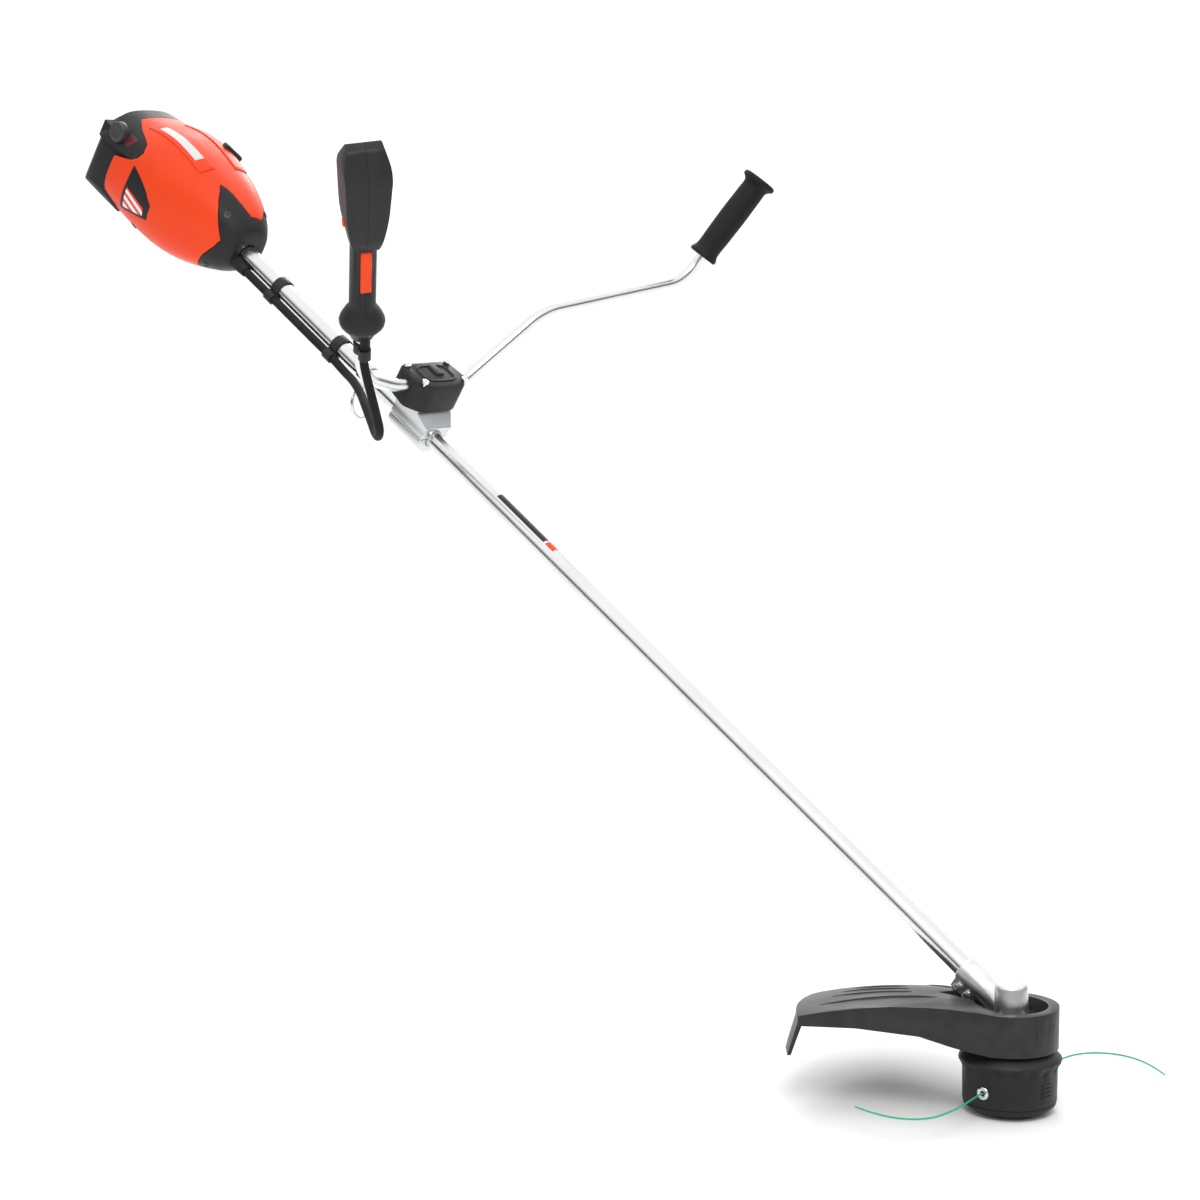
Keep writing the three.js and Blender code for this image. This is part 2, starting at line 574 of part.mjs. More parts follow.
// The blade that trims the line stands on the skirt's inner side.
const skirtTopInside = SHIELD_RADIUS - SHIELD_FLARE - SHIELD_WALL - 4 * GAP;
const cutter = slab(outline([
  [-22, skirtTopInside + 4], [SHIELD_SKIRT_DEPTH, skirtTopInside + SHIELD_FLARE],
  [SHIELD_SKIRT_DEPTH - 8, skirtTopInside + SHIELD_FLARE], [SHIELD_SKIRT_DEPTH - 8, skirtTopInside - 13],
  [SHIELD_SKIRT_DEPTH + 3, skirtTopInside - 23], [-22, skirtTopInside - 23],
]), 'y', -1, 1);
add(spin, 'line_cutter', cutter, steel).rotation.z = CUTTER_ANGLE * DEGREE;

// ---------------------------------------------------------------- cutting head

const head = new THREE.Group();
trimmer.add(head);
const eyeletSides = { right: -1, left: 1 };

function headHousing() {
  const inner = HEAD_RADIUS - HEAD_WALL;
  const shell = solid(turned([
    [OUTPUT_RADIUS + GAP, HEAD_TOP - 4], [inner - 2, HEAD_TOP - 4], [inner, RIM_HEIGHT - 4], [inner, LID_HEIGHT + GAP],
    [HEAD_RADIUS, LID_HEIGHT + GAP], [HEAD_RADIUS + 0.5, RIM_HEIGHT - 11], [RIM_RADIUS, RIM_HEIGHT],
    [inner - 1, HEAD_TOP], [OUTPUT_RADIUS + GAP, HEAD_TOP], [OUTPUT_RADIUS + GAP, HEAD_TOP - 4],
  ], 40));
  const seats = Object.values(eyeletSides).map((side) => {
    const seat = placed(rod(EYELET_RADIUS - 1 + GAP, -12, 12, 16), [0, side * HEAD_RADIUS, EYELET_HEIGHT], [90, 0, 0]);
    return solid(seat);
  });
  return cut(shell, ...seats);
}
add(head, 'head_housing', headHousing(), blackPlastic);

const lid = turned([
  [KNOB_RADIUS + 1, LID_BOTTOM], [HEAD_RADIUS - 8, LID_BOTTOM], [HEAD_RADIUS - 1, LID_BOTTOM + 5],
  [HEAD_RADIUS, LID_HEIGHT], [HEAD_RADIUS - HEAD_WALL - GAP, LID_HEIGHT], [HEAD_RADIUS - HEAD_WALL - 1, LID_HEIGHT - 4],
  [HEAD_RADIUS - 10, LID_BOTTOM + 3], [KNOB_RADIUS + 1, LID_BOTTOM + 3], [KNOB_RADIUS + 1, LID_BOTTOM],
], 40);
add(head, 'head_lid', lid, blackPlastic);

const spool = turned([
  [OUTPUT_RADIUS + 4, SPOOL_BOTTOM], [SPOOL_RADIUS, SPOOL_BOTTOM], [SPOOL_RADIUS, SPOOL_BOTTOM + 2],
  [SPOOL_HUB_RADIUS + 15, SPOOL_BOTTOM + 3], [SPOOL_HUB_RADIUS + 15, SPOOL_TOP - 3],
  [SPOOL_RADIUS, SPOOL_TOP - 2], [SPOOL_RADIUS, SPOOL_TOP], [SPOOL_HUB_RADIUS - 4, SPOOL_TOP],
  [SPOOL_HUB_RADIUS - 4, SPOOL_BOTTOM + 12], [OUTPUT_RADIUS + 4, SPOOL_BOTTOM + 12], [OUTPUT_RADIUS + 4, SPOOL_BOTTOM],
], 24);
add(head, 'line_spool', spool, nylonLine);

const knob = turned([
  [0, 0], [18, 0], [24, 2], [KNOB_RADIUS, 7], [KNOB_RADIUS, SPOOL_BOTTOM - 5], [22, SPOOL_BOTTOM - GAP],
  [0, SPOOL_BOTTOM - GAP],
], 28);
add(head, 'bump_knob', knob, blackPlastic);

const springTurns = 4;
const springFoot = SPOOL_BOTTOM + 13.5;
const springTop = HEAD_TOP - 6;
class Helix extends THREE.Curve {
  constructor(radius, foot, top, turns) {
    super();
    Object.assign(this, { radius, foot, top, turns });
  }

  getPoint(share) {
    const angle = share * this.turns * 2 * Math.PI;
    const height = this.foot + (this.top - this.foot) * share;
    return new THREE.Vector3(this.radius * Math.cos(angle), this.radius * Math.sin(angle), height);
  }
}
const knobSpring = pipe(new Helix(13, springFoot, springTop, springTurns), 1, { sides: 6, steps: springTurns * 10 });
add(head, 'knob_spring', knobSpring, steel);

for (const [name, side] of Object.entries(eyeletSides)) {
  const inset = EYELET_RADIUS - 1;
  const eyelet = turned([
    [EYELET_BORE, -HEAD_WALL - 1], [inset, -HEAD_WALL - 1], [inset, GAP], [EYELET_RADIUS, GAP + 0.3],
    [EYELET_RADIUS - 0.8, 2.4], [EYELET_BORE + 1, 2.4], [EYELET_BORE, 1.4], [EYELET_BORE, -HEAD_WALL - 1],
  ], 18);
  const mesh = add(head, `eyelet_${name}`, eyelet, aluminium);
  mesh.position.set(0, side * HEAD_RADIUS, EYELET_HEIGHT);
  mesh.rotation.x = (-side * Math.PI) / 2;
}

// The two cutting lines stand out of the eyelets and curve round in the head's turning plane.
const LINE_ROUTES = {
  trimmer_line_right: [
    [0, -54], [0, -62], [2, -76], [5, -92], [8, -108], [10, -124], [11, -140], [11, -154], [9, -168],
    [3, -182], [-7, -192], [-20, -199], [-36, -202], [-52, -202], [-67, -200], [-82, -197],
  ],
  trimmer_line_left: [
    [0, 54], [0, 62], [-3, 78], [-5, 94], [-7, 110], [-7, 126], [-6, 142], [-2, 156], [6, 169],
    [18, 179], [33, 185], [50, 186], [68, 182], [86, 174], [104, 163], [121, 151],
  ],
};
for (const [name, route] of Object.entries(LINE_ROUTES)) {
  const points = route.map(([x, y]) => new THREE.Vector3(x, y, EYELET_HEIGHT));
  const curve = new THREE.CatmullRomCurve3(points);
  add(head, name, pipe(curve, LINE_DIAMETER / 2, { sides: 8, steps: 36 }), nylonLine);
}

// ---------------------------------------------------------------- handlebar

const splay = GRIP_ANGLE * DEGREE;
const nearDirection = new THREE.Vector3(Math.cos(splay), -Math.sin(splay), 0);
const farDirection = new THREE.Vector3(Math.cos(splay), Math.sin(splay), 0);
const nearBend = new THREE.Vector3(...NEAR_BEND, 0);
const farBend = new THREE.Vector3(...FAR_BEND, 0);
const throttleFoot = nearBend.clone().addScaledVector(nearDirection, THROTTLE_PLACE);
const passiveFoot = farBend.clone().addScaledVector(farDirection, PASSIVE_PLACE);
const nearEnd = throttleFoot.clone().addScaledVector(nearDirection, BAR_IN_THROTTLE);
const farEnd = passiveFoot.clone().addScaledVector(farDirection, PASSIVE_GRIP_LENGTH - 6);

const barPath = bentPath([
  [nearEnd, 0],
  [nearBend, 34],
  [new THREE.Vector3(0, -74, 0), 18],
  [new THREE.Vector3(0, 65, 0), 13],
  [new THREE.Vector3(107, 170, 0), 24],
  [farBend, 34],
  [farEnd, 0],
]);
add(bar, 'handlebar', pipe(barPath, BAR_RADIUS, { wall: BAR_WALL, sides: 10, steps: 64 }), aluminium);

// Rubber grip with a small lower and a large upper collar.
const gripBore = BAR_RADIUS + GAP;
const passiveGrip = turned([
  [gripBore, 0], [20, 0], [21.5, 2], [21.5, 6], [20, 8], [PASSIVE_GRIP_RADIUS - 1, 9],
  [PASSIVE_GRIP_RADIUS, 40], [PASSIVE_GRIP_RADIUS, 90], [PASSIVE_GRIP_RADIUS - 1, PASSIVE_GRIP_LENGTH - 12],
  [24, PASSIVE_GRIP_LENGTH - 9], [26, PASSIVE_GRIP_LENGTH - 6], [25, PASSIVE_GRIP_LENGTH - 1],
  [20, PASSIVE_GRIP_LENGTH], [0, PASSIVE_GRIP_LENGTH], [0, PASSIVE_GRIP_LENGTH - 5], [gripBore, PASSIVE_GRIP_LENGTH - 5],
  [gripBore, 0],
], 22);
const passiveMesh = add(bar, 'passive_grip', passiveGrip, rubber);
passiveMesh.position.copy(passiveFoot);
passiveMesh.quaternion.setFromUnitVectors(new THREE.Vector3(0, 0, 1), farDirection);

// ---------------------------------------------------------------- throttle grip

const forwards = new THREE.Vector3(0, 0, -1);
const inwards = nearDirection.clone().cross(forwards);
throttle.position.copy(throttleFoot);
throttle.setRotationFromMatrix(new THREE.Matrix4().makeBasis(forwards, inwards, nearDirection));
throttle.rotateZ(-THROTTLE_TWIST * DEGREE);

const triggerPivot = [9, TRIGGER_HIGH - 5];
const triggerHalf = TRIGGER_WIDTH / 2;
const lockoutPivot = [-9, TRIGGER_HIGH - 5];
const lockoutHalf = 6;
const buttonHeight = 190;
const buttonRadius = 6;
const dialHeight = 214;
const dialRadius = 9;
const boxHalfDepth = 25;

// Box above the grip: front view in (y, z), side view in (z, x).
function throttleBox(inset) {
  const low = THROTTLE_BOX_START;
  const high = THROTTLE_TOP - inset;
  const front = outline([
    [-17 + inset, low], [17 - inset, low], [27 - inset, low + 46, 20], [31 - inset, high - 26, 10],
    [23 - inset, high, 3], [-23 + inset, high, 3], [-31 + inset, high - 26, 10], [-27 + inset, low + 46, 20],
  ]);
  const side = outline([
    [low, -17 + inset], [low, 16 - inset], [low + 14, 23 - inset, 8], [high - 40, boxHalfDepth + 2 - inset, 5],
    [high - 3, 6 - inset, 5], [high, -10, 3], [high - 30, -boxHalfDepth + inset, 10], [low + 26, -22 + inset, 12],
  ]);
  return common(
    solid(slab(front, 'x', -60, 60, { curveSegments: 3 })),
    solid(slab(side, 'y', -60, 60, { curveSegments: 3 })),
  );
}

function throttleBody() {
  const wide = THROTTLE_FLANGE_RADIUS;
  const sleeve = solid(turned([
    [0, 0], [15, 0], [19, 9], [25, 16], [wide - 1, 22], [wide, 27], [wide - 1.5, 32], [24.5, 41],
    [THROTTLE_RADIUS + 1, 50], [THROTTLE_RADIUS, 57], [THROTTLE_RADIUS, THROTTLE_BOX_START + 6], [0, THROTTLE_BOX_START + 6],
  ], 24));
  const hollow = [
    solid(rod(gripBore, -1, BAR_IN_THROTTLE + 2, 18)),
    solid(rod(THROTTLE_RADIUS - THROTTLE_WALL, BAR_IN_THROTTLE + 2, THROTTLE_BOX_START + 8, 18)),
    solid(placed(rod(CABLE_RADIUS + GAP, -1, 42, 12), [CABLE_IN_THROTTLE, 0, 0])),
    throttleBox(THROTTLE_WALL),
  ];
  const triggerSlot = solid(block([0, 40], [-triggerHalf - GAP, triggerHalf + GAP], [TRIGGER_LOW - 2, TRIGGER_HIGH + 1]));
  const lockoutSlot = solid(block([-40, 0], [-lockoutHalf - GAP, lockoutHalf + GAP], [TRIGGER_LOW + 6, TRIGGER_HIGH + 1]));
  const buttonHole = solid(placed(rod(buttonRadius + GAP, 0, 60, 16), [0, 0, buttonHeight], [90, 0, 0]));
  const dialHole = solid(block([-60, -14], [-3.5 - GAP, 3.5 + GAP], [dialHeight - dialRadius - 1, dialHeight + dialRadius + 1]));
  return cut(join(sleeve, throttleBox(0)), ...hollow, triggerSlot, lockoutSlot, buttonHole, dialHole);
}
const throttleWhole = throttleBody();
const outerSide = solid(block([-80, 80], [-80, -GAP / 2], [-20, THROTTLE_TOP + 20]));
const innerSide = solid(block([-80, 80], [GAP / 2, 80], [-20, THROTTLE_TOP + 20]));
add(throttle, 'throttle_half_outer', common(throttleWhole, outerSide), blackPlastic);
add(throttle, 'throttle_half_inner', common(throttleWhole, innerSide), blackPlastic);

const triggerFace = THROTTLE_RADIUS + 4.5;
const trigger = slab(outline([
  [TRIGGER_LOW, 15, 2], [TRIGGER_LOW, triggerFace - 1, 4], [TRIGGER_LOW + 24, triggerFace - 2.5, 10],
  [TRIGGER_HIGH - 12, triggerFace - 0.5, 8], [TRIGGER_HIGH, 17, 3], [TRIGGER_HIGH, 4, 3], [TRIGGER_HIGH - 12, 5, 3],
]), 'y', -triggerHalf, triggerHalf, { bevel: 1 });
add(throttle, 'throttle_trigger', trigger, orangePlastic);
const lockout = slab(outline([
  [TRIGGER_LOW + 8, -triggerFace + 2, 4], [TRIGGER_LOW + 8, -14, 2], [TRIGGER_HIGH - 12, -5, 3],
  [TRIGGER_HIGH, -4, 3], [TRIGGER_HIGH, -16, 3], [TRIGGER_HIGH - 20, -triggerFace + 1, 8],
]), 'y', -lockoutHalf, lockoutHalf, { bevel: 1 });
add(throttle, 'lockout_lever', lockout, greyPlastic);

const buttonFace = 27.5;
const button = placed(rod(buttonRadius, buttonFace - 14, buttonFace, 16), [0, 0, buttonHeight], [90, 0, 0]);
add(throttle, 'power_button', button, orangePlastic);
const dial = placed(rod(dialRadius, -3.5, 3.5, 20), [-boxHalfDepth + 4, 0, dialHeight], [90, 0, 0]);
add(throttle, 'speed_dial', dial, greyPlastic);

// ---------------------------------------------------------------- clamp

const shaftBore = (from, to, extra = GAP) => solid(rod(TUBE_RADIUS + extra, from, to, 28));
const clampFrom = CLAMP_PLACE - CLAMP_HALF_LENGTH;
const clampTo = CLAMP_PLACE + CLAMP_HALF_LENGTH;
const barSeatTurn = (geometry) => geometry.rotateX(Math.PI / 2).translate(BAR_LIFT, 0, CLAMP_PLACE);
const barBore = solid(barSeatTurn(rod(BAR_RADIUS + GAP, -120, 120, 20)));
const clampBoltSpots = [[-38, -20], [38, -20], [38, 20], [-38, 20]];
const baseSide = 34;

function clampBase() {
  const saddle = slab(outline([
    [clampFrom - 14, 0.5], [clampTo - 6, 0.5], [clampTo - 6, 16], [clampTo - 12, CLAMP_COVER_BOTTOM - GAP],
    [clampTo - 12, BAR_LIFT - 1], [clampFrom + 12, BAR_LIFT - 1], [clampFrom + 6, CLAMP_COVER_BOTTOM - GAP],
    [clampFrom - 14, 18],
  ]), 'y', -baseSide, baseSide);
  const waist = slab(outline([
    [-baseSide, BAR_LIFT], [-baseSide, CLAMP_COVER_BOTTOM, 8], [-22, 14, 6], [-24, 0],
    [24, 0], [22, 14, 6], [baseSide, CLAMP_COVER_BOTTOM, 8], [baseSide, BAR_LIFT],
  ].map(([y, x, radius]) => [x, y, radius])), 'z', clampFrom - 20, clampTo + 5);
  return cut(common(solid(saddle), solid(waist)), shaftBore(clampFrom - 30, clampTo + 30), barBore);
}
add(boom, 'clamp_base', clampBase(), castAluminium);

const shaftCap = slab(outline([
  [-0.5, -24], [-0.5, 24], [-12, 24, 4], [-22, 12, 6], [-22, -12, 6], [-12, -24, 4],
]), 'z', clampFrom - 14, clampTo - 6);
add(boom, 'clamp_shaft_cap', cut(solid(shaftCap), shaftBore(clampFrom - 30, clampTo + 30)), castAluminium);

function clampCover() {
  const wide = CLAMP_HALF_WIDTH;
  const plan = outline([
    [-30, clampFrom, 8], [30, clampFrom, 8], [wide, clampFrom + 20, 8], [wide - 8, clampTo - 3, 8],
    [-wide + 8, clampTo - 3, 8], [-wide, clampFrom + 20, 8],
  ]);
  const cap = solid(slab(plan, 'x', CLAMP_COVER_BOTTOM, CLAMP_COVER_TOP, { bevel: 5, curveSegments: 3 }));
  const inside = solid(block([0, BAR_LIFT - 1 + GAP], [-baseSide - GAP, baseSide + GAP],
    [clampFrom + 6 - GAP, clampTo - 12 + GAP]));
  const bolts = clampBoltSpots.map(([y, z]) =>
    solid(placed(rod(SCREW_RADIUS + GAP, -20, 20, 12), [CLAMP_COVER_TOP - 14, y, CLAMP_PLACE + z], [0, 90, 0])));
  return cut(cap, inside, barBore, ...bolts);
}
add(boom, 'clamp_cover', clampCover(), blackPlastic);
clampBoltSpots.forEach(([y, z], i) => {
  placeScrew(boom, `clamp_bolt_${i + 1}`, screw(28, 5), [CLAMP_COVER_TOP + GAP, y, CLAMP_PLACE + z], [0, 90, 0]);
});

// ---------------------------------------------------------------- cable and its clips

// Plan of a clip: a band round the shaft joined to a band round the cable.
function cableClip(length) {
  const [up, side] = CABLE_SIDE;
  const bands = join(
    solid(rod(TUBE_RADIUS + CLIP_WALL, 0, length, 22)),
    solid(placed(rod(CABLE_RADIUS + CLIP_WALL, 0, length, 16), [up, side, 0])),
  );
  return cut(bands, solid(rod(TUBE_RADIUS + GAP, -1, length + 1, 28)),
    solid(placed(rod(CABLE_RADIUS + GAP, -1, length + 1, 16), [up, side, 0])));
}
for (const [name, place] of Object.entries(CLIP_PLACES)) {
  add(boom, name, cableClip(CLIP_LENGTH), blackPlastic).position.z = place - CLIP_LENGTH / 2;
}

// A point of the throttle's frame in the boom's frame.
bar.updateMatrix();
throttle.updateMatrix();
const fromThrottle = (x, y, z) => new THREE.Vector3(x, y, z).applyMatrix4(throttle.matrix).applyMatrix4(bar.matrix);

// The cable runs beside the shaft, hangs in a loop under the bar and goes up into the throttle.
const CABLE_LOOP = [
  [-14, -17, 135], [-9, -26, 105], [-4, -42, 71], [0, -62, 37], [1, -80, 3], [3, -96, -25],
  [12, -110, -43], [29, -122, -49], [50, -133, -41],
];
const cablePoints = [NOSE_FRONT + 22, NOSE_FRONT - 47, NOSE_FRONT - 117, NOSE_FRONT - 187, NOSE_FRONT - 232].map(
  (along) => new THREE.Vector3(...CABLE_SIDE, along),
);
for (const [up, side, along] of CABLE_LOOP) cablePoints.push(new THREE.Vector3(up, side, CLAMP_PLACE + along));
for (const height of [-36, -18, 0, 20, 40]) cablePoints.push(fromThrottle(CABLE_IN_THROTTLE, 0, height));
const cableCurve = new THREE.CatmullRomCurve3(cablePoints, false, 'centripetal');
add(boom, 'control_cable', pipe(cableCurve, CABLE_RADIUS, { sides: 8, steps: 70 }), rubber);

// Strap that holds the cable to the bar below the throttle.
const strapHeight = -26;
const strapLength = 16;
const strap = cut(
  join(
    solid(rod(BAR_RADIUS + CLIP_WALL, 0, strapLength, 20)),
    solid(placed(rod(CABLE_RADIUS + CLIP_WALL, 0, strapLength, 16), [CABLE_IN_THROTTLE + 1, 0, 0])),
  ),
  solid(rod(BAR_RADIUS + GAP, -1, strapLength + 1, 20)),
  solid(placed(rod(CABLE_RADIUS + 2 * GAP, -1, strapLength + 1, 16), [CABLE_IN_THROTTLE, 0, 0])),
);
add(throttle, 'cable_strap', strap, blackPlastic).position.z = strapHeight;

const glandBack = NOSE_FRONT - GAP;
const gland = turned([
  [CABLE_RADIUS + GAP, glandBack - 26], [CABLE_RADIUS + 1.8, glandBack - 26], [CABLE_RADIUS + 4, glandBack],
  [CABLE_RADIUS + GAP, glandBack], [CABLE_RADIUS + GAP, glandBack - 26],
], 16);
const glandTrim = solid(rod(TUBE_RADIUS + GAP, glandBack - 40, glandBack + 1, 28));
add(boom, 'cable_gland', cut(solid(placed(gland, [...CABLE_SIDE, 0])), glandTrim), rubber);

// ---------------------------------------------------------------- harness hanger

const hangerWidth = 14;
const lugHalf = 2;
function hangerBand() {
  const band = solid(ring(TUBE_RADIUS + 3, TUBE_RADIUS + GAP, HANGER_PLACE - hangerWidth / 2, HANGER_PLACE + hangerWidth / 2, 28));
  const lug = solid(slab(outline([
    [HANGER_PLACE - 7, -TUBE_RADIUS - 1], [HANGER_PLACE + 7, -TUBE_RADIUS - 1],
    [HANGER_PLACE + 7, -HANGER_DROP - 6, 6], [HANGER_PLACE - 7, -HANGER_DROP - 6, 6],
  ]), 'y', -lugHalf, lugHalf));
  const eye = solid(placed(rod(RING_WIRE + 1.6, -10, 10, 16), [-HANGER_DROP, 0, HANGER_PLACE], [90, 0, 0]));
  return cut(join(band, lug), eye);
}
add(boom, 'hanger_band', hangerBand(), steel);

// The ring hangs straight down from the lug's eye, in a plane across the machine.
class OvalRing extends THREE.Curve {
  getPoint(share) {
    const angle = share * 2 * Math.PI;
    return new THREE.Vector3(0, (RING_WIDTH / 2) * Math.sin(angle), (RING_HEIGHT / 2) * (Math.cos(angle) - 1));
  }
}
boom.updateMatrix();
const eyePlace = new THREE.Vector3(-HANGER_DROP, 0, HANGER_PLACE).applyMatrix4(boom.matrix);

// Closed wire: a ring-shaped lathe stretched into an oval, with a round wire section.
function hangerRing() {
  const wire = [];
  for (let i = 0; i <= 8; i += 1) {
    const angle = (i % 8) * (Math.PI / 4);
    wire.push([RING_HEIGHT / 2 + RING_WIRE * Math.cos(angle), RING_WIRE * Math.sin(angle)]);
  }
  const round = turned(wire, 28);
  round.rotateY(Math.PI / 2);
  round.scale(1, (RING_WIDTH + 2 * RING_WIRE) / (RING_HEIGHT + 2 * RING_WIRE), 1);
  return round.translate(0, 0, -RING_HEIGHT / 2);
}
add(trimmer, 'hanger_ring', hangerRing(), steel).position.copy(eyePlace);

// ---------------------------------------------------------------- powerhead housings

// The powerhead's outside is what its side view, plan and section have in common.
function powerheadBody(inset, end) {
  const side = outline([
    [NOSE_FRONT + inset, -28 + inset, 6], [NOSE_FRONT + inset, 36 - inset, 8], [NOSE_FRONT + 40, BODY_TOP - 16 - inset, 20],
    [NOSE_FRONT + 100, BODY_TOP - inset, 20], [REAR_START + 62, BODY_TOP - inset, 30], [end, BODY_TOP - 26 - inset, 0],
    [end, BODY_BOTTOM + 6 + inset], [NOSE_FRONT + 200, BODY_BOTTOM + inset, 30], [NOSE_FRONT + 84, -60 + inset, 20],
  ]);
  const plan = outline([
    [-34 + inset, NOSE_FRONT - 1], [34 - inset, NOSE_FRONT - 1], [66 - inset, NOSE_FRONT + 42, 20],
    [BODY_HALF_WIDTH - inset, NOSE_FRONT + 120, 30], [BODY_HALF_WIDTH - inset, REAR_START + 30, 30],
    [BODY_HALF_WIDTH - 6 - inset, end + 1], [-BODY_HALF_WIDTH + 6 + inset, end + 1],
    [-BODY_HALF_WIDTH + inset, REAR_START + 30, 30], [-BODY_HALF_WIDTH + inset, NOSE_FRONT + 120, 30],
    [-66 + inset, NOSE_FRONT + 42, 20],
  ]);
  const [half, high, low] = [BODY_HALF_WIDTH - inset, BODY_TOP - inset, BODY_BOTTOM + inset];
  const section = outline([[low, -half, 58], [high, -half, 62], [high, half, 62], [low, half, 58]]);
  return common(
    solid(slab(side, 'y', -100, 100, { curveSegments: 3 })),
    solid(slab(plan, 'x', -100, 100, { curveSegments: 3 })),
    solid(slab(section, 'z', NOSE_FRONT - 10, end + 10, { curveSegments: 6 })),
  );
}
const powerheadShell = cut(powerheadBody(0, REAR_END), powerheadBody(BODY_WALL, REAR_END + 5));
const nearWhole = [-120, 120];
const tongue = (extra) => solid(slab(outline([
  [-40 - extra, NOSE_END + 6], [-12 - extra, NOSE_FRONT + 14 - extra, 4], [12 + extra, NOSE_FRONT + 14 - extra, 4],
  [40 + extra, NOSE_END + 6],
]), 'x', 30 - extra, 120));
const tubeHole = shaftBore(NOSE_FRONT - 10, NOSE_FRONT + 20);
const cableHole = solid(placed(rod(CABLE_RADIUS + GAP, NOSE_FRONT - 10, NOSE_FRONT + 20, 12), [...CABLE_SIDE, 0]));

function noseHousing() {
  const front = common(powerheadShell, solid(block(nearWhole, nearWhole, [NOSE_FRONT - 20, NOSE_END - GAP / 2])));
  const socket = solid(ring(TUBE_RADIUS + 5, TUBE_RADIUS - 2, NOSE_FRONT + 1, TUBE_END + 5, 28));
  return cut(join(cut(front, tongue(GAP)), socket), tubeHole, cableHole,
    shaftBore(NOSE_FRONT, TUBE_END + GAP), cableChannel());
}
const cableChannel = () =>
  solid(placed(rod(CABLE_RADIUS + GAP, NOSE_FRONT - 10, TUBE_END + 10, 12), [...CABLE_SIDE, 0]));
add(boom, 'nose_housing', noseHousing(), blackPlastic);

const rearRegion = (extra) => solid(block([REAR_SPLIT - extra, 120], nearWhole, [REAR_START - extra, REAR_END + 20]));
function motorCover() {
  const middle = common(powerheadShell, solid(block(nearWhole, nearWhole, [NOSE_END + GAP / 2, COVER_END])));
  return cut(join(middle, common(powerheadShell, tongue(0))), rearRegion(GAP));
}
add(boom, 'motor_cover', motorCover(), orangePlastic);

const bulkheadStart = BATTERY_START - 10;
const releaseHole = solid(placed(rod(RELEASE_RADIUS + GAP, 0, 120, 20), [RELEASE_PLACE[0], 0, RELEASE_PLACE[1]], [90, 0, 0]));
function rearHousing() {
  const hood = common(powerheadShell, rearRegion(0));
  const inner = BODY_WALL + GAP;
  const bulkhead = common(
    powerheadBody(inner, REAR_END + 5),
    solid(block(nearWhole, nearWhole, [bulkheadStart, bulkheadStart + 4])),
  );
  const joinBand = common(
    cut(powerheadBody(BODY_WALL - 1, REAR_END + 5), powerheadBody(BODY_WALL + 3, REAR_END + 8)),
    solid(block([REAR_SPLIT + 1, 120], nearWhole, [bulkheadStart, bulkheadStart + 4])),
  );
  const shelf = solid(block([BATTERY_TOP + 1, BATTERY_TOP + 4], [-60, 60], [bulkheadStart, REAR_END - 6]));
  const contacts = solid(block([-20, 20], [-30, 30], [bulkheadStart - 14, bulkheadStart + 1]));
  const backWall = common(
    powerheadBody(0, REAR_END),
    solid(block([BATTERY_TOP + 1, 120], nearWhole, [REAR_END - BODY_WALL, REAR_END + 1])),
  );
  return cut(join(hood, bulkhead, joinBand, shelf, contacts, backWall), releaseHole);
}
add(boom, 'rear_housing', rearHousing(), blackPlastic);

function batteryPack() {
  const plan = outline([
    [-BATTERY_HALF_WIDTH + 6, BATTERY_START], [BATTERY_HALF_WIDTH - 6, BATTERY_START],
    [BATTERY_HALF_WIDTH, BATTERY_START + 30, 8], [BATTERY_HALF_WIDTH - 2, BATTERY_END, 30],
    [-BATTERY_HALF_WIDTH + 2, BATTERY_END, 30], [-BATTERY_HALF_WIDTH, BATTERY_START + 30, 8],
  ]);
  const side = outline([
    [BATTERY_START, BATTERY_BOTTOM + 4, 4], [BATTERY_START, BATTERY_TOP, 4], [BATTERY_END - 4, BATTERY_TOP, 16],
    [BATTERY_END, BATTERY_BOTTOM + 24, 16], [BATTERY_END - 22, BATTERY_BOTTOM + 2, 12],
  ]);
  const section = powerheadBody(BODY_WALL + 2 * GAP, BATTERY_END + 20);
  return common(solid(slab(plan, 'x', -90, 90, { curveSegments: 4 })),
    solid(slab(side, 'y', -90, 90, { curveSegments: 3 })), section);
}
add(boom, 'battery_pack', batteryPack(), blackPlastic);

const releaseFace = BODY_HALF_WIDTH + 1;
const release = placed(turned([
  [0, releaseFace - 22], [4, releaseFace - 22], [4, releaseFace - 7], [RELEASE_RADIUS, releaseFace - 7],
  [RELEASE_RADIUS - 1.5, releaseFace], [0, releaseFace],
], 20), [RELEASE_PLACE[0], 0, RELEASE_PLACE[1]], [90, 0, 0]);
add(boom, 'battery_release', release, greyPlastic);

// ---------------------------------------------------------------- motor

